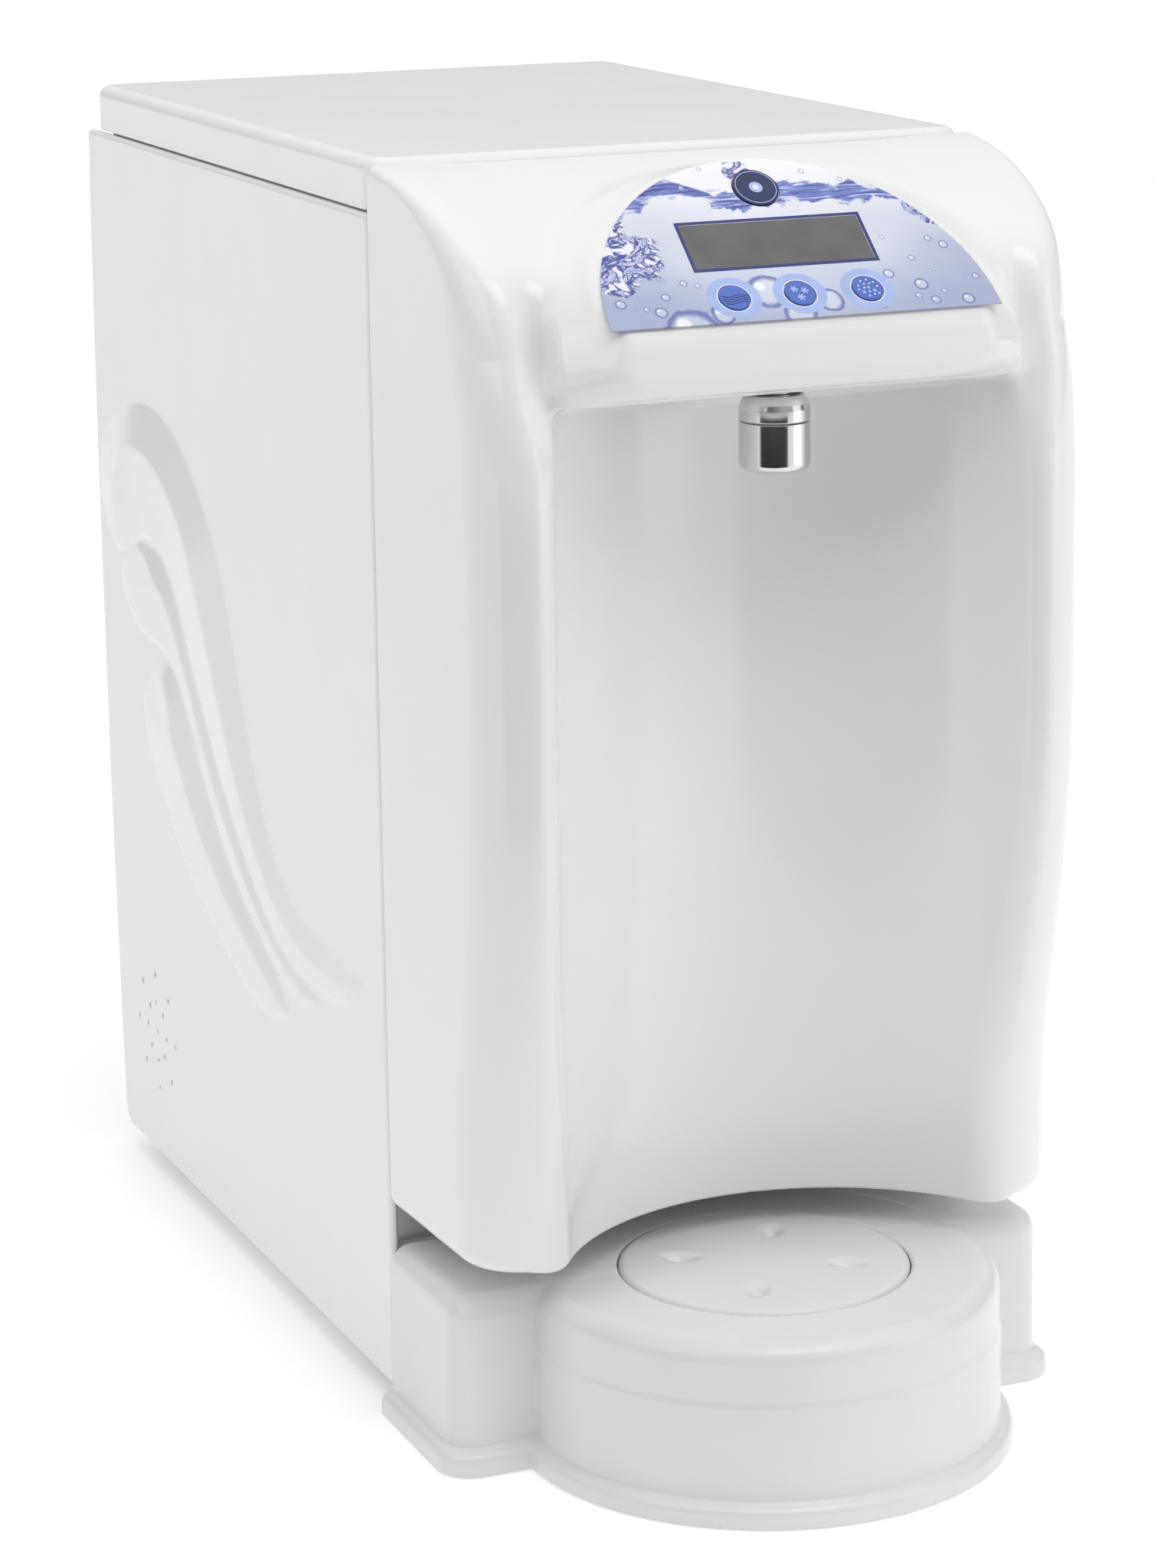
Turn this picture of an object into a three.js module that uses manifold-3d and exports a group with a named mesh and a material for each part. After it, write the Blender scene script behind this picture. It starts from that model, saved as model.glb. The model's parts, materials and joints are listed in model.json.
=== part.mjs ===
// Countertop water dispenser: chilled still, ambient still and sparkling water.
// Millimetres, +Z up, the front looks along -Y. The parts are laid out from the seam plane
// between the fascia and the side panels (y = 0); the group is then moved so that the origin
// is the bottom centre of the whole machine.
import * as THREE from 'three';
import { mergeVertices } from 'three/addons/utils/BufferGeometryUtils.js';
import Module from 'manifold-3d';

const wasm = await Module();
wasm.setup();

// ---------------------------------------------------------------- driving dimensions
const BODY_W = 250;            // across the two side panels
const BODY_D = 360.3;          // side panel depth, from the seam to the rear
const BODY_BOTTOM = 9.3;       // side panels stop this far above the worktop
const PANEL_TOP = 474;
const TOTAL_H = 494;
const WALL = 3.5;              // moulded shell thickness
const GAP = 0.3;               // clearance between pieces that touch

const LID = { w: 246, front: -1, rear: 352, bottom: 475.4, edge: 8, wall: 3 };
const SHEET = 2;               // steel sheet of the chassis
const CHASSIS = { halfW: 121, base: 12, front: 2.5, rear: 357, bottom: 14.3, top: 469 };

const FASCIA = { rear: -2.5, bottom: 84.5, top: 493.4, halfW: 125.7, draft: 0.031, corner: 17 };
const NICHE = { r: 102.5, y: -145, ceiling: 414 };
const LABEL = { y: -120, z: 442.8, tilt: 40, r: 79, thick: 0.6 };
const POD = { r: 90, lip: -121.6 };
const NOZZLE = { y: -90, r: 12.8, bottom: 383.5, seam: 400.5, top: 411.7, bore: 3.5 };

const TRAY = { y: -78, r: 93, flangeR: 97.6, top: 70, wall: 3, wingW: 126.5, wingRear: -1.5 };
const WING_FRONT = -73;
const WING_PLAN = [[-TRAY.wingW, TRAY.wingW], [WING_FRONT, TRAY.wingRear], [11, 11, 6, 6]];
const FLANGE = { w: 131.5, out: 5, h: 8 };
const GRATE = { r: 57.9, y: -79.5, thick: 4, holeAt: 32.5 };
const CUP = { r: 54, floor: 8 };

const TANK = { halfW: 98, front: 12, rear: 196, bottom: 215, top: 430, wall: 12 };
const FAN = { x: 35, z: 300, size: 120, r: 57.5, front: 329, rear: 354 };
const COMPRESSOR = { x: -45, y: 262, r: 50, bottom: 24, top: 154 };
const WATER_IN = { x: 24, z: 55, r: 8 };
const GAS_IN = { x: 66, z: 55, r: 6.5 };
const POWER_IN = { x: -85, z: 58 };
const SWITCH = { x: -85, z: 106, tip: 8 };
const REAR_TIP = 374;          // the inlet fittings reach furthest back

// ---------------------------------------------------------------- materials
const finish = (color, roughness, metalness = 0) =>
  new THREE.MeshStandardMaterial({ color, roughness, metalness });

const LOOK = {
  shell: finish(0xf1f1ee, 0.18),
  tray: finish(0xeeeeec, 0.3),
  overlay: finish(0xc3cdea, 0.3),
  display: finish(0x6d7075, 0.15),
  buttonDark: finish(0x1d2c63, 0.35),
  buttonBlue: finish(0x6f9ae0, 0.35),
  chrome: finish(0xd8d8d8, 0.08, 1),
  steel: finish(0xb4b7ba, 0.35, 1),
  blackPaint: finish(0x1b1c1e, 0.45, 0.3),
  blackPlastic: finish(0x202123, 0.5),
  rubber: finish(0x1a1a1a, 0.85),
  copper: finish(0xb87333, 0.3, 1),
  brass: finish(0xb69a4e, 0.3, 1),
  foam: finish(0xd9d6cd, 0.8),
  board: finish(0x1f5a3a, 0.5),
  tube: finish(0xdfe6ea, 0.3),
  cable: finish(0x9b9da3, 0.6),
};

// ---------------------------------------------------------------- solid helpers
function closed(geometry) {
  const bare = geometry.clone();
  bare.deleteAttribute('normal');
  bare.deleteAttribute('uv');
  const merged = mergeVertices(bare, 1e-4);
  const kept = [];
  const index = merged.index.array;
  for (let i = 0; i < index.length; i += 3) {
    const [a, b, c] = [index[i], index[i + 1], index[i + 2]];
    if (a !== b && b !== c && c !== a) kept.push(a, b, c);
  }
  merged.setIndex(kept);
  return merged;
}

function toSolid(geometry) {
  const merged = closed(geometry);
  const vertProperties = Float32Array.from(merged.attributes.position.array);
  const triVerts = Uint32Array.from(merged.index.array);
  return new wasm.Manifold(new wasm.Mesh({ numProp: 3, vertProperties, triVerts }));
}

function toGeometry(solid) {
  const mesh = solid.getMesh();
  const geometry = new THREE.BufferGeometry();
  geometry.setAttribute('position', new THREE.BufferAttribute(mesh.vertProperties, 3));
  geometry.setIndex([...mesh.triVerts]);
  return geometry;
}

const join = (...parts) => toGeometry(parts.map(toSolid).reduce((a, b) => a.add(b)));
const cut = (part, ...tools) => toGeometry(tools.map(toSolid).reduce((a, b) => a.subtract(b), toSolid(part)));
const common = (a, b) => toGeometry(toSolid(a).intersect(toSolid(b)));

function mirrorX(geometry) {
  const flipped = closed(geometry).scale(-1, 1, 1);
  const index = [...flipped.index.array];
  for (let i = 0; i < index.length; i += 3) [index[i], index[i + 1]] = [index[i + 1], index[i]];
  flipped.setIndex(index);
  return flipped;
}

// ---------------------------------------------------------------- shape helpers
const v2 = ([x, y]) => new THREE.Vector2(x, y);
const v3 = ([x, y, z]) => new THREE.Vector3(x, y, z);

function block([x0, x1], [y0, y1], [z0, z1]) {
  const box = new THREE.BoxGeometry(x1 - x0, y1 - y0, z1 - z0);
  return box.translate((x0 + x1) / 2, (y0 + y1) / 2, (z0 + z1) / 2);
}

// A revolved profile of [radius, height] points, standing along +Z.
function turned(profile, [x, y, z] = [0, 0, 0], segments = 32) {
  return new THREE.LatheGeometry(profile.map(v2), segments).rotateX(Math.PI / 2).translate(x, y, z);
}

function rodZ(r, [x, y], [z0, z1], segments = 24) {
  return turned([[0, z0], [r, z0], [r, z1], [0, z1]], [x, y, 0], segments);
}

function rodY(r, [x, z], [y0, y1], segments = 24) {
  return turned([[0, -y1], [r, -y1], [r, -y0], [0, -y0]], [0, 0, 0], segments)
    .rotateX(Math.PI / 2).translate(x, 0, z);
}

function rodX(r, [y, z], [x0, x1], segments = 24) {
  return turned([[0, x0], [r, x0], [r, x1], [0, x1]], [0, 0, 0], segments)
    .rotateY(Math.PI / 2).translate(0, y, z);
}

function prism(outline, length) {
  return new THREE.ExtrudeGeometry(new THREE.Shape(outline.map(v2)), { depth: length, bevelEnabled: false });
}

// An outline in (y, z), extruded from x0 to x1.
function prismX(outline, [x0, x1]) {
  const turn = new THREE.Matrix4().makeBasis(v3([0, 1, 0]), v3([0, 0, 1]), v3([1, 0, 0]));
  return prism(outline, x1 - x0).applyMatrix4(turn).translate(x0, 0, 0);
}

// An outline in (x, y), extruded from z0 to z1.
const prismZ = (outline, [z0, z1]) => prism(outline, z1 - z0).translate(0, 0, z0);

function arc([cx, cy], r, from, to, steps) {
  const points = [];
  for (let i = 0; i <= steps; i += 1) {
    const a = THREE.MathUtils.degToRad(from + (to - from) * i / steps);
    points.push([cx + r * Math.cos(a), cy + r * Math.sin(a)]);
  }
  return points;
}

// A rectangle with a radius for each corner: low-left, low-right, high-right, high-left.
function roundedRect([x0, x1], [y0, y1], [ll, lr, hr, hl], steps = 4) {
  return [
    ...arc([x0 + ll, y0 + ll], ll, 180, 270, steps),
    ...arc([x1 - lr, y0 + lr], lr, 270, 360, steps),
    ...arc([x1 - hr, y1 - hr], hr, 0, 90, steps),
    ...arc([x0 + hl, y1 - hl], hl, 90, 180, steps),
  ];
}

// Moves every side of a convex, counterclockwise outline inwards by d.
function inset(outline, d) {
  const n = outline.length;
  const sides = outline.map(([x, y], i) => {
    const [nx, ny] = outline[(i + 1) % n];
    const length = Math.hypot(nx - x, ny - y);
    const out = [(ny - y) / length, (x - nx) / length];
    return { out, reach: out[0] * x + out[1] * y - d };
  });
  return sides.map((side, i) => {
    const before = sides[(i + n - 1) % n];
    const det = before.out[0] * side.out[1] - before.out[1] * side.out[0];
    return [
      (before.reach * side.out[1] - side.reach * before.out[1]) / det,
      (before.out[0] * side.reach - side.out[0] * before.reach) / det,
    ];
  });
}

function smoothLoop(points, steps) {
  const curve = new THREE.CatmullRomCurve3(points.map(([a, b]) => v3([a, b, 0])), true);
  return curve.getPoints(steps).slice(0, -1).map((p) => [p.x, p.y]);
}

// A skin over counterclockwise rings of [x, y, z] points, from the lowest ring to the highest.
function loft(rings) {
  const n = rings[0].length;
  const faces = [];
  for (let k = 0; k + 1 < rings.length; k += 1) {
    for (let i = 0; i < n; i += 1) {
      const j = (i + 1) % n;
      faces.push(k * n + i, k * n + j, (k + 1) * n + j);
      faces.push(k * n + i, (k + 1) * n + j, (k + 1) * n + i);
    }
  }
  const last = (rings.length - 1) * n;
  const cap = (ring) => THREE.ShapeUtils.triangulateShape(ring.map(v2), []);
  for (const [a, b, c] of cap(rings[0])) faces.push(c, b, a);
  for (const [a, b, c] of cap(rings.at(-1))) faces.push(last + a, last + b, last + c);
  const geometry = new THREE.BufferGeometry();
  geometry.setAttribute('position', new THREE.Float32BufferAttribute(rings.flat(2), 3));
  geometry.setIndex(faces);
  return geometry;
}

// A round bar or pipe along a smooth curve through the points.
function pipe(points, r, steps, sides = 8) {
  const section = new THREE.Shape(arc([0, 0], r, 0, 360, sides).slice(0, -1).map(v2));
  const extrudePath = new THREE.CatmullRomCurve3(points.map(v3));
  return new THREE.ExtrudeGeometry(section, { steps, bevelEnabled: false, extrudePath });
}

const machine = new THREE.Group();
machine.position.y = -(REAR_TIP + TRAY.y - TRAY.flangeR) / 2;

function add(name, geometry, material, parent = machine) {
  const mesh = new THREE.Mesh(closed(geometry), material);
  mesh.name = name;
  parent.add(mesh);
  return mesh;
}

// ---------------------------------------------------------------- side panels
// Three raised waves sweep up towards the rear of each side, as outlines in (y, z).
const WAVES = [
  { rise: 4, steps: 36, outline: [
    [22, 170], [73, 174], [116, 186], [146, 218], [170, 265], [199, 319], [231, 346],
    [268, 361], [319, 357], [351, 341], [356, 313], [334, 290], [297, 301], [264, 294],
    [240, 268], [205, 224], [160, 181], [117, 157], [70, 152], [33, 161]] },
  { rise: 3, steps: 30, outline: [
    [76, 148], [117, 159], [160, 183], [205, 226], [240, 270], [264, 294], [300, 299],
    [330, 277], [306, 259], [264, 253], [239, 231], [215, 202], [181, 173], [133, 148], [95, 141]] },
  { rise: 3, steps: 26, outline: [
    [114, 132], [133, 146], [181, 172], [215, 200], [239, 229], [264, 250], [290, 242],
    [303, 224], [287, 195], [252, 165], [195, 137], [140, 125]] },
];
const VENT = { y: 306, z: 70, hole: 1.5, rings: [13.7, 27], perRing: 8 };

function ventHoles(x) {
  const centres = [[VENT.y, VENT.z]];
  for (const r of VENT.rings) centres.push(...arc([VENT.y, VENT.z], r, 0, 360, VENT.perRing).slice(1));
  return centres.map((at) => rodX(VENT.hole, at, x, 6));
}

function leftPanel() {
  const outer = -BODY_W / 2;
  const outline = roundedRect([0, BODY_D], [BODY_BOTTOM, PANEL_TOP], [5, 9, 3, 3]);
  const plate = prismX(outline, [outer, outer + WALL]);
  const waves = WAVES.map((w) => prismX(smoothLoop(w.outline, w.steps), [outer - w.rise, outer + 1]));
  return cut(join(plate, ...waves), ...ventHoles([outer - 1, outer + WALL + 1]));
}

add('left_side_panel', leftPanel(), LOOK.shell);
add('right_side_panel', mirrorX(leftPanel()), LOOK.shell);

// ---------------------------------------------------------------- top lid
function lidShell(shrink, bottom) {
  const plan = roundedRect([-LID.w / 2, LID.w / 2], [LID.front, LID.rear], [9, 9, 9, 9], 3);
  const edge = LID.edge - shrink;
  const levels = [[bottom, 0], [TOTAL_H - LID.edge, 0]];
  for (const angle of [30, 60, 90]) {
    const a = THREE.MathUtils.degToRad(angle);
    levels.push([TOTAL_H - LID.edge + edge * Math.sin(a), edge * (1 - Math.cos(a))]);
  }
  return loft(levels.map(([z, d]) => inset(plan, d + shrink).map(([x, y]) => [x, y, z])));
}

function topLid() {
  const rim = 2.3;
  const outside = block([-LID.w / 2 + rim, LID.w / 2 - rim], [7, LID.rear - 9], [470, 480]);
  const inside = block([-LID.w / 2 + rim + 2, LID.w / 2 - rim - 2], [9, LID.rear - 11], [469, 481]);
  const shell = cut(lidShell(0, LID.bottom), lidShell(LID.wall, LID.bottom - 1));
  const top = block([-LID.w / 2 + rim, LID.w / 2 - rim], [7, LID.rear - 9], [479, TOTAL_H - LID.wall + 0.5]);
  const lip = cut(join(outside, top), inside, block([-112, 112], [12, LID.rear - 14], [478, 492]));
  return join(shell, lip);
}

add('top_lid', topLid(), LOOK.shell);

// ---------------------------------------------------------------- chassis
const SCREWS = [[-112, 440], [112, 440]];

add('base_plate', block([-120, 120], [5, 355], [CHASSIS.base, CHASSIS.base + SHEET]), LOOK.steel);

for (const [i, [x, y]] of [[-85, 45], [85, 45], [-85, 315], [85, 315]].entries()) {
  const profile = [[0, 0], [14, 0], [14, CHASSIS.base - GAP], [0, CHASSIS.base - GAP]];
  add(`foot_${i + 1}`, turned(profile, [x, y, 0], 12), LOOK.rubber);
}

function frontFrame() {
  const { halfW, front, bottom, top } = CHASSIS;
  const plate = block([-halfW, halfW], [front, front + SHEET], [bottom, top]);
  const underLid = block([-110, 110], [front, front + SHEET], [top - 1, 484]);
  return cut(join(plate, underLid), block([-88, 88], [front - 1, front + SHEET + 1], [120, 455]));
}

function rearPanel() {
  const { halfW, rear, bottom, top } = CHASSIS;
  const through = [rear - 1, rear + SHEET + 1];
  const tools = [rodY(FAN.r, [FAN.x, FAN.z], through, 36)];
  tools.push(rodY(WATER_IN.r + GAP, [WATER_IN.x, WATER_IN.z], through, 16));
  tools.push(rodY(GAS_IN.r + GAP, [GAS_IN.x, GAS_IN.z], through, 16));
  tools.push(block([POWER_IN.x - 14, POWER_IN.x + 14], through, [POWER_IN.z - 11, POWER_IN.z + 11]));
  tools.push(block([SWITCH.x - 11, SWITCH.x + 11], through, [SWITCH.z - 7.6, SWITCH.z + 7.6]));
  for (const at of SCREWS) tools.push(rodY(2.3, at, through, 10));
  for (let row = 0; row < 6; row += 1) {
    const z = 150 + row * 12;
    tools.push(block([-10, 80], through, [z, z + 4]));
    tools.push(block([-80, -30], through, [z + 120, z + 124]));
  }
  return cut(block([-halfW, halfW], [rear, rear + SHEET], [bottom, top]), ...tools);
}

add('front_frame', frontFrame(), LOOK.steel);
add('rear_panel', rearPanel(), LOOK.steel);

for (const [i, [x, z]] of SCREWS.entries()) {
  const face = CHASSIS.rear + SHEET + GAP;
  const profile = [[0, -2.2], [2.4, -1.8], [3.6, 0], [1.9, 0], [1.9, 8], [0, 8]];
  const screw = turned(profile, [0, 0, 0], 12).rotateX(Math.PI / 2).translate(x, face, z);
  add(`rear_screw_${i + 1}`, screw, LOOK.steel);
}

// ---------------------------------------------------------------- front fascia
// The front face seen from the side: [height, y of the face, inset of the whole ring].
const FASCIA_LEVELS = [
  [84.5, -90, 7], [87, -93, 3], [93, -95, 0], [120, -95, 0], [142, -95.5, 0], [172, -101, 0],
  [221, -110, 0], [292, -115.5, 0], [351, -115, 0], [414, -110, 0], [436, -103, 0],
  [455, -93, 0], [476, -76, 0], [485, -63, 0], [490, -52, 2.3], [493.4, -38, 8],
];

function fasciaRing(front, side) {
  const { rear, halfW, draft, corner } = FASCIA;
  const w = halfW - draft * (rear - front) - side;
  const back = halfW - side;
  return [
    [-back, rear],
    ...arc([-w + corner, front + corner], corner, 180, 270, 5),
    ...arc([w - corner, front + corner], corner, 270, 360, 5),
    [back, rear],
  ];
}

function fasciaBlock(shrink) {
  const rings = FASCIA_LEVELS.map(([z, front, side]) => {
    const ring = inset(fasciaRing(front, side), Math.max(shrink, 0.001));
    const inner = z === FASCIA.top ? z - shrink : z;
    const level = z === FASCIA.bottom ? z + shrink : inner;
    return ring.map(([x, y]) => [x, shrink && y > FASCIA.rear - 2 * WALL ? 1 : y, level]);
  });
  const rising = rings.filter((ring, i) => i === 0 || ring[0][2] > rings[i - 1][0][2]);
  return loft(rising.filter((ring, i) => i + 1 === rising.length || ring[0][2] < rising.at(-1)[0][2]));
}

// The control pod, from the side: its lip, its sloping top and its underside, in (y, z).
const POD_SIDE = [
  [POD.lip, 429], [-119.5, 420.5], [-112, 416], [-90, 412], [FASCIA.rear, 412], [FASCIA.rear, 493.4], [-59, 493.4],
  [LABEL.y, LABEL.z], [POD.lip, 437],
];

// Local x runs across the label, y up its slope and z out of its face.
const onLabel = new THREE.Matrix4()
  .makeRotationX(THREE.MathUtils.degToRad(LABEL.tilt)).setPosition(0, LABEL.y, LABEL.z);

const dShape = (r, below, steps = 20) => [[-r, -below], [r, -below], ...arc([0, 0], r, 0, 180, steps)];

function podBlock(shrink) {
  const side = inset(POD_SIDE, Math.max(shrink, 0.001));
  const reach = side.map(([y, z]) => [shrink && y > -12 ? 1 : y, z]);
  const column = prism(dShape(POD.r - shrink, 60), 160).translate(0, 0, -155).applyMatrix4(onLabel);
  return common(prismX(reach, [-POD.r, POD.r]), column);
}

const BUTTONS = [
  { name: 'button_stop_prog', at: [1, 64], r: 9.2, look: LOOK.buttonDark },
  { name: 'button_still_ambient', at: [-26, 11.5], r: 6.2, look: LOOK.buttonBlue },
  { name: 'button_still_cold', at: [0, 11.5], r: 6.2, look: LOOK.buttonBlue },
  { name: 'button_sparkling_cold', at: [27, 11.5], r: 6.2, look: LOOK.buttonBlue },
];
const WINDOW = { halfW: 35.6, low: 26.2, high: 47.7 };

function windowBlock(grow, [z0, z1]) {
  return block([-WINDOW.halfW - grow, WINDOW.halfW + grow], [WINDOW.low - grow, WINDOW.high + grow], [z0, z1]);
}

function labelOpenings(grow, span) {
  const holes = BUTTONS.map((b) => rodZ(b.r + grow, b.at, span, 16));
  return [windowBlock(grow, span), ...holes];
}

function fascia() {
  const nicheOut = rodZ(NICHE.r, [0, NICHE.y], [FASCIA.bottom - 5, NICHE.ceiling], 48);
  const nicheIn = rodZ(NICHE.r + WALL, [0, NICHE.y], [FASCIA.bottom - 5, NICHE.ceiling + WALL], 32);
  const outside = join(cut(fasciaBlock(0), nicheOut), podBlock(0));
  const inside = join(cut(fasciaBlock(WALL), nicheIn), podBlock(WALL));
  const openings = labelOpenings(GAP, [-WALL - 1, 2]).map((hole) => hole.applyMatrix4(onLabel));
  const nozzleHole = rodZ(NOZZLE.r / 2 + GAP, [0, NOZZLE.y], [405, 425], 16);
  return cut(outside, inside, nozzleHole, ...openings);
}

add('front_fascia', fascia(), LOOK.shell);

// ---------------------------------------------------------------- control panel
const panel = new THREE.Group();
panel.applyMatrix4(onLabel);
machine.add(panel);

const overlayFace = [GAP, GAP + LABEL.thick];
const overlaySheet = prism(arc([0, 0], LABEL.r, 0, 180, 20), LABEL.thick).translate(0, 0, GAP);
const overlay = cut(overlaySheet, ...labelOpenings(GAP, [-1, 2]));
add('control_overlay', overlay, LOOK.overlay, panel);
add('display_window', windowBlock(-0.3, [-WALL, overlayFace[1]]), LOOK.display, panel);
for (const { name, at, r, look } of BUTTONS) {
  const profile = [[0, -4], [r - 0.4, -4], [r - 0.4, -WALL], [r - 0.4, 0.9], [r - 1.2, 1.4], [0, 1.4]];
  add(name, turned(profile, [...at, 0], 16), look, panel);
}
add('display_module', block([-40, 40], [21, 53], [-14, -WALL - GAP]), LOOK.blackPlastic, panel);

function controlBoard() {
  const board = block([-52, 52], [3, 58], [-20, -18.4]);
  const chips = [[-30, 12], [0, 12], [30, 12]].map(([x, y]) => block([x - 8, x + 8], [y - 6, y + 6], [-18.6, -16]));
  return join(board, ...chips);
}

add('control_board', controlBoard(), LOOK.board, panel);

// ---------------------------------------------------------------- outlet nozzle
const { bore } = NOZZLE;
const nozzleAt = [0, NOZZLE.y, 0];
const stud = NOZZLE.r / 2;
add('nozzle_collar', turned([
  [bore, NOZZLE.seam + GAP / 2], [NOZZLE.r, NOZZLE.seam + GAP / 2], [NOZZLE.r, 405], [12, 408.5],
  [10, 411], [8, NOZZLE.top], [stud, NOZZLE.top], [stud, 424], [bore, 424], [bore, NOZZLE.seam + GAP / 2],
], nozzleAt, 24), LOOK.chrome);
add('nozzle_cap', turned([
  [8, NOZZLE.bottom], [10.4, NOZZLE.bottom + 0.4], [12.2, NOZZLE.bottom + 1.6], [NOZZLE.r, NOZZLE.bottom + 3.4],
  [NOZZLE.r, NOZZLE.seam - GAP / 2], [10.4, NOZZLE.seam - GAP / 2], [10.4, 387], [8, 387], [8, NOZZLE.bottom],
], nozzleAt, 24), LOOK.chrome);
add('nozzle_insert', turned([
  [2.5, 388], [10, 388], [10, 399.8], [2.5, 399.8], [2.5, 388],
], nozzleAt, 20), LOOK.blackPlastic);

// ---------------------------------------------------------------- drip tray and grate
const behind = (y) => block([-150, 150], [y, 60], [-5, 100]);

function trayBody(shrink, [z0, z1]) {
  const wings = prismZ(inset(roundedRect(...WING_PLAN), Math.max(shrink, 0.001)), [z0, z1]);
  const drum = rodZ(TRAY.r - shrink, [0, TRAY.y], [z0, z1], 48);
  return cut(join(wings, drum), behind(TRAY.wingRear - shrink));
}

function trayOutside() {
  const { w, out, h } = FLANGE;
  const level = (r) => [[0, 0], [r, 0], [r, h - 3], [r - 1, h - 0.8], [r - 3, h], [0, h]];
  const foot = turned(level(TRAY.flangeR), [0, TRAY.y, 0], 48);
  const footPlan = roundedRect([-w, w], [WING_FRONT - out, TRAY.wingRear], [14, 14, 6, 6]);
  const rings = [[0, 0], [h - 3, 0], [h - 0.8, 1], [h, 3]];
  const wingFoot = loft(rings.map(([z, d]) => inset(footPlan, Math.max(d, 0.001)).map(([x, y]) => [x, y, z])));
  const crown = [[TRAY.top - 4, 0.001], [TRAY.top - 1.2, 1.2], [TRAY.top, 4]];
  const wingPlan = roundedRect(...WING_PLAN);
  const wingTop = loft(crown.map(([z, d]) => inset(wingPlan, d).map(([x, y]) => [x, y, z])));
  const drumTop = turned([
    [0, TRAY.top - 5], [TRAY.r, TRAY.top - 5], [TRAY.r - 1.2, TRAY.top - 1.5], [TRAY.r - 5, TRAY.top], [0, TRAY.top],
  ], [0, TRAY.y, 0], 48);
  const body = trayBody(0, [0, TRAY.top - 4.5]);
  return cut(join(body, foot, wingFoot, wingTop, drumTop), behind(TRAY.wingRear));
}

function dripTray() {
  const hollow = trayBody(TRAY.wall, [-1, TRAY.top - 4.2]);
  const cupWall = rodZ(CUP.r + 7.5, [0, GRATE.y], [CUP.floor - 3, TRAY.top], 36);
  const cup = rodZ(CUP.r, [0, GRATE.y], [CUP.floor, TRAY.top + 1], 36);
  const seat = rodZ(GRATE.r + 0.6, [0, GRATE.y], [TRAY.top - GRATE.thick - GAP, TRAY.top + 1], 48);
  return cut(trayOutside(), cut(hollow, cupWall), cup, seat);
}

function dripGrate() {
  const under = TRAY.top - GRATE.thick;
  const disc = turned([
    [0, under], [50, under], [50, under - 5], [52, under - 5], [52, under], [GRATE.r, under],
    [GRATE.r, TRAY.top - 1], [GRATE.r - 1, TRAY.top], [0, TRAY.top],
  ], [0, GRATE.y, 0], 40);
  const slots = [60, 150, 240, 330].map((angle) => rodZ(1, [0, 0], [under - 1, TRAY.top + 1], 10)
    .scale(7.5, 4.8, 1).translate(GRATE.holeAt, 0, 0)
    .rotateZ(THREE.MathUtils.degToRad(angle)).translate(0, GRATE.y, 0));
  return cut(disc, ...slots);
}

add('drip_tray', dripTray(), LOOK.tray);
add('drip_grate', dripGrate(), LOOK.tray);

// ---------------------------------------------------------------- cooling circuit
function compressor() {
  const { x, y, r, bottom, top } = COMPRESSOR;
  return turned([
    [0, bottom], [r - 14, bottom], [r - 3, bottom + 10], [r, bottom + 22], [r, bottom + 60], [r + 3, bottom + 61],
    [r + 3, bottom + 64], [r, bottom + 65], [r, top - 24], [r - 6, top - 10], [r - 24, top], [0, top],
  ], [x, y, 0], 28);
}

function compressorBracket() {
  const { x, y, r, bottom } = COMPRESSOR;
  const plate = block([x - r, x + r], [y - 48, y + 48], [bottom - 4, bottom - GAP]);
  const pads = [[-1, -1], [1, -1], [-1, 1], [1, 1]].map(([sx, sy]) =>
    rodZ(9, [x + sx * (r - 10), y + sy * 38], [CHASSIS.base + SHEET + GAP, bottom - 2], 14));
  return join(plate, ...pads);
}

function condenser() {
  const [x0, x1] = [FAN.x - 62, FAN.x + 62];
  const [z0, z1] = [FAN.z - 58, FAN.z + 58];
  const grooves = [];
  for (let x = x0 + 6; x < x1 - 6; x += 8) {
    grooves.push(block([x, x + 5], [284, 292], [z0 - 1, z1 + 1]));
    grooves.push(block([x, x + 5], [316, 326], [z0 - 1, z1 + 1]));
  }
  return cut(block([x0, x1], [286, 324], [z0, z1]), ...grooves);
}

function fanFrame() {
  const half = FAN.size / 2;
  const { x, z, front, rear } = FAN;
  const frame = block([x - half, x + half], [front, rear], [z - half, z + half]);
  const ring = cut(frame, rodY(FAN.r, [x, z], [front - 1, rear + 1], 36));
  const hub = rodY(19, [x, z], [front, front + 4], 20);
  const struts = [45, 135].map((angle) => block([-half, half], [front, front + 3], [-3, 3])
    .rotateY(THREE.MathUtils.degToRad(angle)).translate(x, 0, z));
  return join(ring, hub, ...struts);
}

function fanRotor() {
  const blades = 7;
  const [y0, y1] = [FAN.front + 5, FAN.rear - 3];
  const parts = [rodY(19, [0, 0], [y0, y1], 28)];
  for (let i = 0; i < blades; i += 1) {
    const blade = block([16, FAN.r - 2.5], [-1.1, 1.1], [-9, 9]).rotateX(THREE.MathUtils.degToRad(58));
    parts.push(blade.translate(0, (y0 + y1) / 2, 0).rotateY(i / blades * 2 * Math.PI));
  }
  return join(...parts).translate(FAN.x, 0, FAN.z);
}

function fanGuard() {
  const face = CHASSIS.rear + SHEET + GAP;
  const parts = [18, 37, 56].map((r) => new THREE.TorusGeometry(r, 1.3, 4, 20).rotateX(Math.PI / 2));
  for (const angle of [0, 90]) {
    parts.push(rodX(1.3, [0, 0], [-63, 63], 6).rotateY(THREE.MathUtils.degToRad(angle + 45)));
  }
  return join(...parts).translate(FAN.x, face + 1.5, FAN.z);
}

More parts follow.
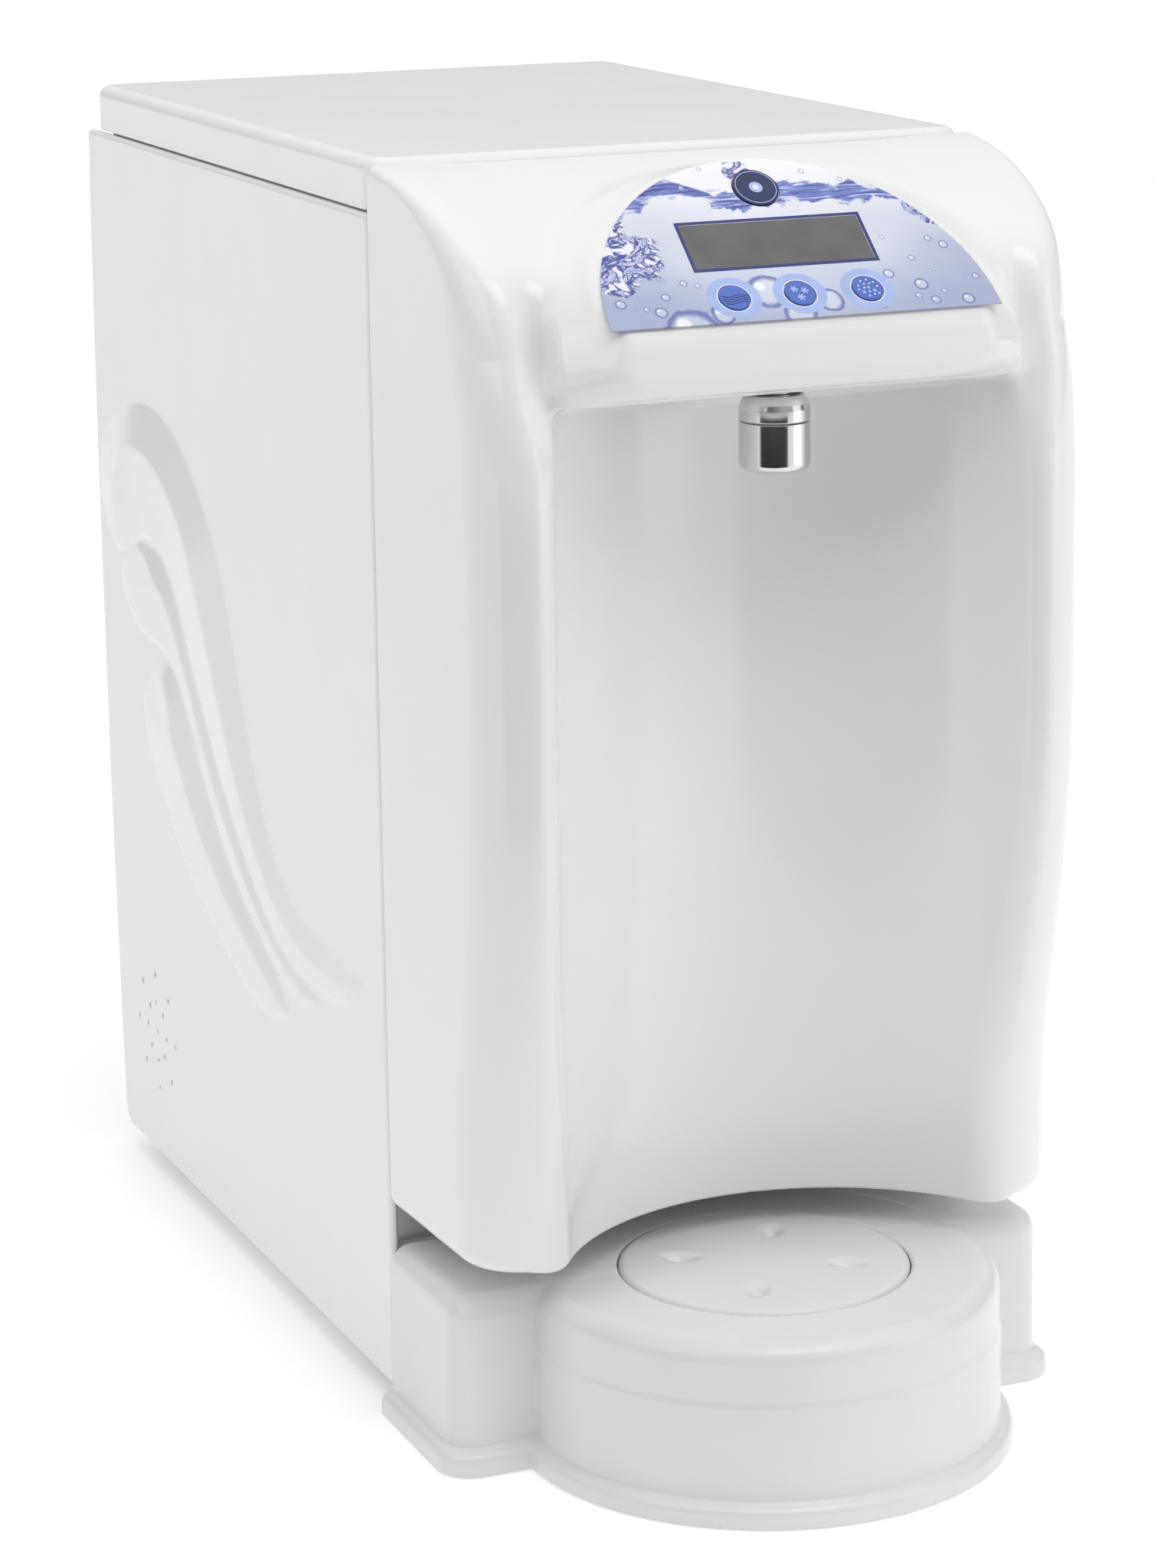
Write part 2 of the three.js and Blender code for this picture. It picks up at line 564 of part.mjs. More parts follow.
add('compressor', compressor(), LOOK.blackPaint);
add('compressor_bracket', compressorBracket(), LOOK.steel);
add('condenser', condenser(), LOOK.steel);
add('fan_frame', fanFrame(), LOOK.blackPlastic);
add('fan_rotor', fanRotor(), LOOK.blackPlastic);
add('fan_guard', fanGuard(), LOOK.steel);
add('filter_drier', join(
  turned([[0, 62], [4, 62], [12, 74], [12, 146], [4, 158], [0, 158]], [60, 250, 0], 16),
  pipe([[60, 305, 241.5], [60, 303, 225], [60, 270, 195], [60, 250, 156]], 3, 12, 6),
), LOOK.copper);
add('suction_line', pipe([
  [-66, 262, 156], [-66, 261, 170], [-82, 240, 250], [-86, 215, 380], [-84, 208, 440], [-80, 186, 456],
  [-72, 148, 458], [-70, 124, 450], [-70, 122, 438.8],
], 4, 30, 6), LOOK.copper);
add('discharge_line', pipe([
  [-45, 262, 156], [-45, 263, 170], [-42, 278, 200], [-28, 296, 215], [-8, 305, 228], [-6, 305, 241.3],
], 3, 16, 6), LOOK.copper);

// ---------------------------------------------------------------- ice bank
const tankX = [-TANK.halfW, TANK.halfW];
const tankY = [TANK.front, TANK.rear];
const coil = { x: 0, y: 104, r: 68, turns: 5, wire: 4.5, bottom: 246, pitch: 28 };

function evaporatorCoil() {
  const points = [];
  const perTurn = 12;
  for (let i = 0; i <= coil.turns * perTurn; i += 1) {
    const a = i / perTurn * 2 * Math.PI;
    points.push([
      coil.x + coil.r * Math.cos(a), coil.y + coil.r * Math.sin(a), coil.bottom + coil.pitch * i / perTurn,
    ]);
  }
  return pipe(points, coil.wire, 60, 5);
}

const tankInside = block([-TANK.halfW + TANK.wall, TANK.halfW - TANK.wall],
  [TANK.front + TANK.wall, TANK.rear - TANK.wall], [TANK.bottom + TANK.wall, TANK.top + 1]);
const agitator = { x: 72, y: 38, shaft: 2 };
add('ice_bank_tank', cut(block(tankX, tankY, [TANK.bottom, TANK.top]), tankInside), LOOK.foam);
add('ice_bank_cover', cut(
  block(tankX, tankY, [TANK.top + GAP, TANK.top + 8]),
  rodZ(agitator.shaft + 1.5, [agitator.x, agitator.y], [TANK.top - 1, TANK.top + 9], 12),
), LOOK.foam);
add('evaporator_coil', evaporatorCoil(), LOOK.copper);
add('carbonator', turned([
  [0, 244], [30, 247], [45, 262], [45, 378], [30, 393], [7, 396], [7, 402], [4, 402], [4, 393],
  [29, 390], [42, 376], [42, 264], [29, 250], [0, 247],
], [coil.x, coil.y, 0], 20), LOOK.steel);
add('agitator_motor', join(
  rodZ(13, [agitator.x, agitator.y], [TANK.top + 15, 466], 20),
  cut(
    block([agitator.x - 15, agitator.x + 15], [agitator.y - 15, agitator.y + 15], [TANK.top + 8 + GAP, TANK.top + 16]),
    rodZ(10, [agitator.x, agitator.y], [TANK.top + 7, TANK.top + 15], 20),
  ),
), LOOK.blackPlastic);
add('agitator_impeller', join(
  rodZ(agitator.shaft, [agitator.x, agitator.y], [300, TANK.top + 15 - GAP], 8),
  block([agitator.x - 9, agitator.x + 9], [agitator.y - 1, agitator.y + 1], [302, 314]),
  block([agitator.x - 1, agitator.x + 1], [agitator.y - 9, agitator.y + 9], [302, 314]),
), LOOK.steel);
add('thermostat', block([98.3, 114], [40, 80], [240, 290]), LOOK.blackPlastic);

// ---------------------------------------------------------------- water and gas
const pump = { y: 120, z: 62 };
add('pump_motor', join(
  rodX(36, [pump.y, pump.z], [6, 102], 28),
  block([20, 88], [pump.y - 26, pump.y + 26], [CHASSIS.base + SHEET + GAP, pump.z - 20]),
), LOOK.blackPaint);
add('pump_head', join(
  rodX(27, [pump.y, pump.z], [-58, 0], 24),
  rodX(31, [pump.y, pump.z], [-4, 6 - GAP], 24),
  rodY(8, [-32, pump.z], [pump.y + 10, pump.y + 34], 12),
), LOOK.brass);
add('valve_block', block([-48, 48], [-62, -38], [422, 436]), LOOK.brass);
for (const [i, x] of [-32, 0, 32].entries()) {
  const valve = turned([
    [0, 436.3], [6, 436.3], [6, 440], [11, 440], [11, 456], [4, 456], [4, 459], [0, 459],
  ], [x, -50, 0], 18);
  add(`solenoid_valve_${i + 1}`, valve, LOOK.blackPlastic);
}
add('nozzle_tube', pipe([[0, -62.4, 429], [0, -66, 429.2], [0, -78, 434], [0, -88, 433.5], [0, -90, 428], [0, -90, 424.5]], 3, 12, 6), LOOK.tube);
add('still_water_tube', pipe([
  [-32, -37.6, 429], [-32, -32, 429.4], [-33, -10, 440], [-36, 20, 452], [-39, 52, 454], [-40, 61, 447],
  [-40, 61.5, 438.8],
], 3, 18, 6), LOOK.tube);
add('sparkling_water_tube', pipe([
  [32, -37.6, 429], [32, -32, 429.4], [31, -10, 440], [28, 20, 452], [23, 52, 454], [22, 61, 447],
  [22, 61.5, 438.8],
], 3, 18, 6), LOOK.tube);
add('inlet_hose', pipe([
  [WATER_IN.x, 339.5, WATER_IN.z], [24, 330, 54.6], [24, 300, 50], [24, 220, 46], [16, 190, 50], [-14, 181, 58],
  [-31, 170, 62], [-32, 154.4, 62],
], 4.5, 22, 6), LOOK.tube);
add('gas_tube', pipe([
  [GAS_IN.x, 341.5, GAS_IN.z], [67, 333, 55.5], [84, 318, 70], [104, 285, 130], [108, 215, 330], [108, 160, 440],
  [90, 125, 454], [58, 106, 455], [49, 104, 448], [48, 104, 438.8],
], 3, 34, 6), LOOK.tube);

function bulkheadFitting({ x, z, r }, inner, outer) {
  const nut = CHASSIS.rear + SHEET + GAP;
  const body = cut(rodY(r, [x, z], [inner, outer], 20), rodY(r - 3, [x, z], [outer - 12, outer + 1], 16));
  return join(body, cut(rodY(r + 5, [x, z], [nut, nut + 5], 6), rodY(r - 1, [x, z], [nut - 1, nut + 6], 20)));
}

add('water_inlet_fitting', bulkheadFitting(WATER_IN, 340, REAR_TIP), LOOK.brass);
add('gas_inlet_fitting', bulkheadFitting(GAS_IN, 342, REAR_TIP), LOOK.brass);

// ---------------------------------------------------------------- electrics
function powerInlet() {
  const { x, z } = POWER_IN;
  const face = CHASSIS.rear + SHEET + GAP;
  const flange = block([x - 18, x + 18], [face, face + 3], [z - 15, z + 15]);
  const body = block([x - 13.5, x + 13.5], [340, face + 1], [z - 10.5, z + 10.5]);
  const socket = block([x - 12, x + 12], [345, face + 4], [z - 8, z + 8]);
  const pins = [-7, 0, 7].map((dx) => block([x + dx - 1, x + dx + 1], [344, face + 1], [z - 2, z + 2]));
  return join(cut(join(flange, body), socket), ...pins);
}

function switchFrame() {
  const { x, z } = SWITCH;
  const face = CHASSIS.rear + SHEET + GAP;
  const flange = block([x - 14, x + 14], [face, face + 2.4], [z - 10, z + 10]);
  const body = block([x - 10.5, x + 10.5], [342, face + 1], [z - 7.2, z + 7.2]);
  return cut(join(flange, body), block([x - 9, x + 9], [347, face + 4], [z - 6.2, z + 6.2]));
}

// The rocker is a shallow V that tips about a pin across its middle, and rests tipped to off.
const SWITCH_PIN_Y = CHASSIS.rear + SHEET + 2;

function rocker() {
  const depth = 6;
  const outline = [[-depth, -4], [1.5, -5], [-0.4, 0], [1.5, 5], [-depth, 4]];
  return prismX(outline, [SWITCH.x - 8.4, SWITCH.x + 8.4])
    .rotateX(-THREE.MathUtils.degToRad(SWITCH.tip)).translate(0, SWITCH_PIN_Y, SWITCH.z);
}

add('power_inlet', powerInlet(), LOOK.blackPlastic);
add('switch_frame', switchFrame(), LOOK.blackPlastic);
add('power_switch', rocker(), LOOK.blackPlastic);
add('power_supply', block([-104, -12], [10, 52], [110, 200]), LOOK.steel);

function ribbonCable() {
  const section = [[-6, -0.6], [6, -0.6], [6, 0.6], [-6, 0.6]];
  const shape = new THREE.Shape(section.map(v2));
  const extrudePath = new THREE.CatmullRomCurve3([
    [-64, -86, 437], [-64, -60, 434], [-64, -30, 420], [-64, -14, 380], [-64, -12, 300], [-64, -8, 232],
    [-64, 8, 208], [-64, 24, 207.5], [-64, 31, 204], [-64, 32, 200.5],
  ].map(v3));
  return new THREE.ExtrudeGeometry(shape, { steps: 24, bevelEnabled: false, extrudePath });
}

add('ribbon_cable', ribbonCable(), LOOK.cable);

export default machine;
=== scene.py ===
"""Countertop water dispenser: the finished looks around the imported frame.

Shapes are worked out in millimetres from the seam plane between the fascia and the side
panels (y = 0 there, x = 0 in the middle, z = 0 on the worktop), the way the CAD model is laid
out. Large moulded pieces are signed distance fields, meshed with OpenVDB and moved onto the
exact surface; the outlet and keys are lathes; the film and prints are flat filled outlines.
"""

import json
import math

import bmesh
import bpy
import numpy as np
import openvdb as vdb
from mathutils import Matrix, Vector

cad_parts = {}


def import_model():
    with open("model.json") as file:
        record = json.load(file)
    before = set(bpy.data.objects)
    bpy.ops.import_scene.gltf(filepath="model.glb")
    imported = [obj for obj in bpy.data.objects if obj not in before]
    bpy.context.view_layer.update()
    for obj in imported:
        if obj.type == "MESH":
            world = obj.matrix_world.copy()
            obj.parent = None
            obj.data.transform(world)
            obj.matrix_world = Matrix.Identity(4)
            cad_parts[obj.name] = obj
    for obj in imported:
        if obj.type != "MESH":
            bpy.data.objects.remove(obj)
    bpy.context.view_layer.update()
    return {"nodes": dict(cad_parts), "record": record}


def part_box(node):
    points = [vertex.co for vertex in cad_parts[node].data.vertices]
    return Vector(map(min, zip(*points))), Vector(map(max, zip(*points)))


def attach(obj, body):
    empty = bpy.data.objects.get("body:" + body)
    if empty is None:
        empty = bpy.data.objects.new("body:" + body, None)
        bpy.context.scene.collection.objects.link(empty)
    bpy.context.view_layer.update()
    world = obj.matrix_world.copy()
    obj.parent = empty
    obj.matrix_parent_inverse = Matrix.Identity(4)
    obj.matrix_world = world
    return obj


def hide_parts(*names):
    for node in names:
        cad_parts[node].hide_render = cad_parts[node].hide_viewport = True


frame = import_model()
NODES = frame["nodes"]

MM = 0.001
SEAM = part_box("left_side_panel")[0].y / MM       # the seam plane, in the row frame


def box_mm(node):
    """Lowest and highest corner of a CAD node in millimetres from the seam plane."""
    low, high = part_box(node)
    shift = np.array([0, SEAM, 0])
    return np.array(low) / MM - shift, np.array(high) / MM - shift


def world(point):
    """A point in millimetres from the seam plane, in the row frame in metres."""
    x, y, z = point
    return Vector((x, y + SEAM, z)) * MM


# ---------------------------------------------------------------- driving dimensions
BODY_W = 125.0                                   # half width over the flat of the side panels
PANEL_LOW, PANEL_HIGH = box_mm("left_side_panel")
LID_LOW, LID_HIGH = box_mm("top_lid")
FASCIA_LOW, FASCIA_HIGH = box_mm("front_fascia")
TRAY_LOW, TRAY_HIGH = box_mm("drip_tray")
GRATE_LOW, GRATE_HIGH = box_mm("drip_grate")
WALL = 3.5                                       # of the fascia and the side panels

LABEL_TILT = math.radians(40)
LABEL_AT = np.array([0, -120.0, 442.8])          # the middle of the label's straight edge
LABEL_R = 79.0
LABEL_TOP = 0.9                                  # face of the printed film above its seat
POD_R = 92.0                                     # of the console's round back
POD_LIP = -122.6                                 # y of its front lip
POD_CORNER = (45.5, 18.0)                        # half axes of the lip's elliptical lower corners
POD_CORNER_AT = (34.0, 431.0)                    # |x| and z of their centres
NOZZLE_Y = -90.0
NICHE_R, NICHE_Y, NICHE_TOP = 102.5, -145.0, 414.0
CROWN_HALF_W, SIDE_DRAFT = 125.7, 0.031          # the fascia widens towards the rear
LID_GAP = 475.4                                  # underside of the lid's skirt


# ---------------------------------------------------------------- camera
def make_camera():
    """The main view: from the left and slightly above, level to within a degree."""
    azimuth, elevation, roll = (math.radians(a) for a in (-22.463, 14.268, -0.725))
    target, reach = np.array([-42.865, 0, 247.665]), 1696.59
    back = np.array([
        math.sin(azimuth) * math.cos(elevation),
        -math.cos(azimuth) * math.cos(elevation),
        math.sin(elevation),
    ])
    right = np.array([math.cos(azimuth), math.sin(azimuth), 0])
    up = np.cross(back, right)
    rolled_right = right * math.cos(roll) + up * math.sin(roll)
    rolled_up = up * math.cos(roll) - right * math.sin(roll)
    data = bpy.data.cameras.new("camera")
    data.sensor_width = 36
    data.lens = 99.67
    data.clip_start, data.clip_end = 0.05, 50
    camera = bpy.data.objects.new("camera", data)
    bpy.context.scene.collection.objects.link(camera)
    place = world(target + back * reach)
    columns = [Vector(rolled_right), Vector(rolled_up), Vector(back)]
    camera.matrix_world = Matrix.Translation(place) @ Matrix(columns).transposed().to_4x4()
    bpy.context.scene.camera = camera


make_camera()


# ---------------------------------------------------------------- node expressions
class Value:
    """A number or vector socket that can be added, multiplied and compared in plain formulas."""

    def __init__(self, tree, socket):
        self.tree, self.socket = tree, socket

    def _math(self, operation, *others):
        node = self.tree.nodes.new("ShaderNodeMath")
        node.operation = operation
        for slot, value in zip(node.inputs, (self, *others)):
            if isinstance(value, Value):
                self.tree.links.new(value.socket, slot)
            else:
                slot.default_value = value
        return Value(self.tree, node.outputs[0])

    def __add__(self, other):
        return self._math("ADD", other)

    def __radd__(self, other):
        return self._math("ADD", other)

    def __sub__(self, other):
        return self._math("SUBTRACT", other)

    def __rsub__(self, other):
        return self._math("MULTIPLY", -1.0)._math("ADD", other)

    def __mul__(self, other):
        return self._math("MULTIPLY", other)

    def __rmul__(self, other):
        return self._math("MULTIPLY", other)

    def __truediv__(self, other):
        return self._math("DIVIDE", other)

    def __pow__(self, other):
        return self._math("POWER", other)

    def most(self, other):
        return self._math("MAXIMUM", other)

    def size(self):
        return self._math("ABSOLUTE")

    def root(self):
        return self._math("SQRT")

    def sine(self):
        return self._math("SINE")

    def ramp(self, low, high):
        """0 below low, 1 above high, with a smooth step between."""
        node = self.tree.nodes.new("ShaderNodeMapRange")
        node.interpolation_type = "SMOOTHSTEP"
        self.tree.links.new(self.socket, node.inputs["Value"])
        node.inputs["From Min"].default_value = low
        node.inputs["From Max"].default_value = high
        return Value(self.tree, node.outputs["Result"])


def distance(u, v, centre):
    """Distance in the plane, as a node expression."""
    return ((u - centre[0]) ** 2 + (v - centre[1]) ** 2).root()


def texture(tree, kind, vector, scale, output=0, **inputs):
    """A procedural texture's output, with its inputs set by name."""
    node = tree.nodes.new("ShaderNodeTex" + kind)
    node.inputs["Scale"].default_value = scale
    for name, value in inputs.items():
        node.inputs[name.replace("_", " ")].default_value = value
    tree.links.new(vector, node.inputs["Vector"])
    return Value(tree, node.outputs[output])


def mixed(tree, share, first, second):
    """A colour between two: each is a tuple or a socket."""
    node = tree.nodes.new("ShaderNodeMix")
    node.data_type = "RGBA"
    if isinstance(share, Value):
        tree.links.new(share.socket, node.inputs[0])
    else:
        node.inputs[0].default_value = share
    for slot, value in ((node.inputs[6], first), (node.inputs[7], second)):
        if isinstance(value, tuple):
            slot.default_value = (*value, 1)
        else:
            tree.links.new(value, slot)
    return node.outputs[2]


# ---------------------------------------------------------------- materials
def new_material(name, roughness, metallic=0.0, specular=0.5, coat=0.0):
    """An empty principled material, its node tree and its shader."""
    material = bpy.data.materials.new(name)
    material.use_nodes = True
    shader = material.node_tree.nodes["Principled BSDF"]
    shader.inputs["Roughness"].default_value = roughness
    shader.inputs["Metallic"].default_value = metallic
    shader.inputs["Specular IOR Level"].default_value = specular
    shader.inputs["IOR"].default_value = 1.5
    shader.inputs["Coat Weight"].default_value = coat
    shader.inputs["Coat Roughness"].default_value = 0.05
    return material, material.node_tree, shader


def surface(name, color, roughness, metallic=0.0, coat=0.0, mottle=0.03, spread=0.04,
            grain=1500.0, bump=0.02, stretch=(1, 1, 1), patch=25.0):
    """A moulded, painted or metal surface: broad colour drift, fine grain and uneven gloss."""
    material, tree, shader = new_material(name, roughness, metallic, coat=coat)
    coords = tree.nodes.new("ShaderNodeTexCoord").outputs["Object"]
    mapping = tree.nodes.new("ShaderNodeMapping")
    mapping.inputs["Scale"].default_value = stretch
    tree.links.new(coords, mapping.inputs["Vector"])
    broad = texture(tree, "Noise", coords, patch, Detail=3.0)
    fine = texture(tree, "Noise", mapping.outputs[0], grain, Detail=2.0)
    dark = tuple(max(c * (1 - mottle), 0) for c in color)
    light = tuple(min(c * (1 + mottle), 1) for c in color)
    tree.links.new(mixed(tree, broad.ramp(0.3, 0.7), dark, light), shader.inputs["Base Color"])
    uneven = (broad * 0.5 + fine * 0.5 - 0.5) * spread + roughness
    tree.links.new(uneven.socket, shader.inputs["Roughness"])
    node = tree.nodes.new("ShaderNodeBump")
    node.inputs["Strength"].default_value = bump
    node.inputs["Distance"].default_value = 0.0005
    tree.links.new(fine.socket, node.inputs["Height"])
    tree.links.new(node.outputs[0], shader.inputs["Normal"])
    return material


SHELL = surface("white_shell", (0.90, 0.90, 0.893), 0.14, mottle=0.006, grain=900, bump=0.012)
# The side panels' white is a little bluer than the shell's: painted light, the cool cast the light
# gives them.
SIDE = surface("white_side", (0.89, 0.895, 0.91), 0.14, mottle=0.006, grain=900, bump=0.012)
# The tray's white is darker than the shell's: painted shade for the dim light that reaches it low
# at the front.
TRAY = surface("white_tray", (0.81, 0.81, 0.81), 0.24, mottle=0.012, grain=1400, bump=0.05)
STEEL = surface("zinc_steel", (0.62, 0.63, 0.64), 0.32, 1.0, mottle=0.08, spread=0.15,
                stretch=(1, 1, 0.05), bump=0.05)
FINS = surface("aluminium_fins", (0.76, 0.77, 0.78), 0.38, 1.0, mottle=0.06, spread=0.15,
               stretch=(0.1, 1, 1), bump=0.05)
CHROME = surface("chrome", (0.68, 0.68, 0.685), 0.16, 1.0, mottle=0.01, spread=0.03, bump=0.004)
BLACK_PAINT = surface("black_paint", (0.02, 0.02, 0.022), 0.35, 0.0, coat=0.3, mottle=0.2,
                      spread=0.15, bump=0.1)
BLACK_PLASTIC = surface("black_plastic", (0.018, 0.018, 0.02), 0.45, mottle=0.15, spread=0.15,
                        grain=2500, bump=0.15)
RUBBER = surface("rubber", (0.014, 0.014, 0.014), 0.75, mottle=0.2, spread=0.1, bump=0.2)
COPPER = surface("copper", (0.72, 0.36, 0.2), 0.25, 1.0, mottle=0.12, spread=0.2, bump=0.05)
BRASS = surface("brass", (0.72, 0.55, 0.25), 0.25, 1.0, mottle=0.08, spread=0.15, bump=0.04)
FOAM = surface("foam", (0.72, 0.69, 0.6), 0.85, mottle=0.06, grain=400, bump=0.6)
BOARD = surface("board", (0.02, 0.13, 0.06), 0.4, mottle=0.25, patch=300, bump=0.1)
HOSE = surface("hose", (0.72, 0.78, 0.8), 0.22, mottle=0.05, bump=0.03)
CABLE = surface("cable", (0.33, 0.34, 0.36), 0.5, mottle=0.1, grain=600, stretch=(4, 0.1, 0.1),
                bump=0.4)
DISPLAY = surface("display_glass", (0.115, 0.113, 0.112), 0.22, coat=0.2, mottle=0.12, patch=60,
                  grain=3000, bump=0.02)
NAVY = surface("print_navy", (0.012, 0.022, 0.1), 0.3, mottle=0.1, bump=0.02)
BORDER = surface("print_border", (0.022, 0.035, 0.19), 0.3, mottle=0.1, bump=0.02)
BLUE = surface("print_blue", (0.075, 0.16, 0.58), 0.3, mottle=0.06, bump=0.02)
PALE = surface("print_pale", (0.40, 0.52, 0.86), 0.3, mottle=0.05, patch=150, bump=0.02)
WHITE = surface("print_white", (0.82, 0.85, 0.92), 0.3, mottle=0.02, bump=0.02)

SLOT_LOOKS = {
    "shell": SHELL, "tray": TRAY, "overlay": PALE, "display": DISPLAY, "key_dark": NAVY,
    "key_blue": BLUE, "chrome": CHROME, "steel": STEEL, "fins": FINS, "black_paint": BLACK_PAINT,
    "black_plastic": BLACK_PLASTIC, "rubber": RUBBER, "copper": COPPER, "brass": BRASS,
    "foam": FOAM, "board": BOARD, "hose": HOSE, "cable": CABLE,
}
SLOT_OF = {part["node"]: part["material_slot"] for part in frame["record"]["subparts"]}
BODY_OF = {
    node: body
    for body, members in frame["record"]["behaviour"]["bodies"].items() for node in members
}


# ---------------------------------------------------------------- mesh helpers
def link(name, mesh, looks, node=None, body=None, slot=None, matrix=None):
    """Makes the mesh a piece that rides on its body and stands for its CAD node."""
    piece = bpy.data.objects.new(name, mesh)
    bpy.context.scene.collection.objects.link(piece)
    for look in looks if isinstance(looks, (list, tuple)) else [looks]:
        mesh.materials.append(look)
    if matrix is not None:
        piece.matrix_world = matrix
    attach(piece, body or BODY_OF[node])
    if node:
        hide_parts(node)
    return piece


def polygon_mesh(name, points, faces, normals=None):
    """A smooth mesh from millimetre points and equal-sized faces, in the row frame."""
    points = (np.asarray(points, float) + [0, SEAM, 0]) * MM
    faces = np.asarray(faces, np.int32)
    mesh = bpy.data.meshes.new(name)
    mesh.vertices.add(len(points))
    mesh.vertices.foreach_set("co", points.astype(np.float32).ravel())
    mesh.loops.add(faces.size)
    mesh.loops.foreach_set("vertex_index", faces.ravel())
    mesh.polygons.add(len(faces))
    starts = np.arange(len(faces), dtype=np.int32) * faces.shape[1]
    mesh.polygons.foreach_set("loop_start", starts)
    mesh.update(calc_edges=True)
    mesh.polygons.foreach_set("use_smooth", np.ones(len(faces), bool))
    mesh.validate()
    if normals is not None:
        mesh.normals_split_custom_set_from_vertices(normals.tolist())
    return mesh


def rmax(a, b, r):
    """The larger of two distances, with the edge between them rounded to radius r."""
    flat = np.minimum(np.maximum(a, b), -r)
    return flat + np.hypot(np.maximum(a + r, 0), np.maximum(b + r, 0))


def rmin(a, b, r):
    """The smaller of two distances, with the crease between them filled to radius r."""
    return -rmax(-a, -b, r)


def rounded_rect(u, v, low, high, r):
    """Distance to a rectangle with round corners, negative inside."""
    cu, cv = (low[0] + high[0]) / 2, (low[1] + high[1]) / 2
    du = np.abs(u - cu) - (high[0] - low[0]) / 2 + r
    dv = np.abs(v - cv) - (high[1] - low[1]) / 2 + r
    return np.hypot(np.maximum(du, 0), np.maximum(dv, 0)) + np.minimum(np.maximum(du, dv), 0) - r


def field_mesh(name, field, low, high, step):
    """Meshes the zero surface of field(x, y, z), then moves its points onto that surface."""
    low, step = np.array(low, float), np.broadcast_to(np.array(step, float), 3)
    counts = np.ceil((np.array(high) - low) / step).astype(int) + 1
    axes = [low[i] + step[i] * np.arange(counts[i]) for i in range(3)]
    values = np.broadcast_to(
        field(axes[0][:, None, None], axes[1][None, :, None], axes[2][None, None, :]), counts)
    far = float(3 * step.max())
    grid = vdb.FloatGrid(far)
    grid.copyFromArray(np.clip(values, -far, far).astype(np.float32))
    points, _, faces = grid.convertToPolygons(0.0, 0.0)
    points = low + points.astype(float) * step
    delta = 0.02

    def slope(p):
        return np.stack([
            field(*(p + delta * e).T) - field(*(p - delta * e).T) for e in np.eye(3)
        ], axis=1) / (2 * delta)

    for _ in range(3):
        gradient = slope(points)
        steepness = np.maximum((gradient ** 2).sum(1), 0.05)
        move = -(field(*points.T) / steepness)[:, None] * gradient
        limit = 0.5 * step.min() / np.maximum(np.linalg.norm(move, axis=1), 1e-9)
        points = points + move * np.minimum(limit, 1)[:, None]
    normals = slope(points)
    normals /= np.maximum(np.linalg.norm(normals, axis=1), 1e-9)[:, None]
    return polygon_mesh(name, points, faces, normals)


# ---------------------------------------------------------------- front fascia
class Spline:
    """A natural cubic through given points, straight beyond them."""

    def __init__(self, points):
        self.x, self.y = (np.array(c, float) for c in zip(*points))
        h, n = np.diff(self.x), len(points)
        matrix, rhs = np.eye(n), np.zeros(n)
        for i in range(1, n - 1):
            matrix[i, i - 1:i + 2] = h[i - 1], 2 * (h[i - 1] + h[i]), h[i]
            rise_after = (self.y[i + 1] - self.y[i]) / h[i]
            rhs[i] = 6 * (rise_after - (self.y[i] - self.y[i - 1]) / h[i - 1])
        self.bend = np.linalg.solve(matrix, rhs)
        self.h = h

    def __call__(self, x):
        inside = np.clip(x, self.x[0], self.x[-1])
        i = np.clip(np.searchsorted(self.x, inside, side="right") - 1, 0, len(self.h) - 1)
        h = self.h[i]
        a, b = (self.x[i + 1] - inside) / h, (inside - self.x[i]) / h
        value = (a * self.y[i] + b * self.y[i + 1]
                 + ((a ** 3 - a) * self.bend[i] + (b ** 3 - b) * self.bend[i + 1]) * h * h / 6)
        slope = ((self.y[i + 1] - self.y[i]) / h
                 - (3 * a * a - 1) / 6 * h * self.bend[i]
                 + (3 * b * b - 1) / 6 * h * self.bend[i + 1])
        return value + slope * (x - inside), slope


# The front face from the side, as [height, y].
FRONT = Spline([
    [60, -95], [90, -95], [120, -95], [142, -96], [172, -101], [221, -110], [292, -115.5],
    [351, -115], [414, -110], [436, -103], [455, -93.2], [476, -76], [500, -48],
])
FASCIA_TOP = FASCIA_HIGH[2]
FASCIA_FOOT = FASCIA_LOW[2]


def label_coordinates(x, y, z):
    """u across the label, v up its slope, w out of its face."""
    dy, dz = y - LABEL_AT[1], z - LABEL_AT[2]
    c, s = math.cos(LABEL_TILT), math.sin(LABEL_TILT)
    return x, dy * c + dz * s, -dy * s + dz * c


def pod_field(x, y, z):
    """The raised console: a sloping seat for the label, a front lip with elliptical lower
    corners, and a 45 degree chamfer around both."""
    u, v, w = label_coordinates(x, y, z)
    lip = POD_LIP - y
    face = rmax(w, lip, 6.0)
    rho = np.hypot(u, np.maximum(v, 0))
    wide, high = POD_CORNER
    a = np.maximum(np.abs(u) - POD_CORNER_AT[0], 0) / wide
    b = np.maximum(POD_CORNER_AT[1] - z, 0) / high
    ring = np.hypot(a, b)
    corner = (ring - 1) * np.maximum(ring / (np.hypot(a / wide, b / high) + 1e-6), high)
    outline = np.maximum(corner, rho - LABEL_R - 0.5)
    pod = rmax(face, (outline + rmax(w, lip, 24.0)) * math.sqrt(0.5), 2.4)
    pod = rmax(pod, rho - POD_R, 1.8)
    under = (NICHE_TOP - 2 + 0.2 * (NOZZLE_Y - y) - z) * 0.98       # rises towards the lip
    return rmax(rmax(pod, under, 7.0), z - FASCIA_TOP, 5.0)


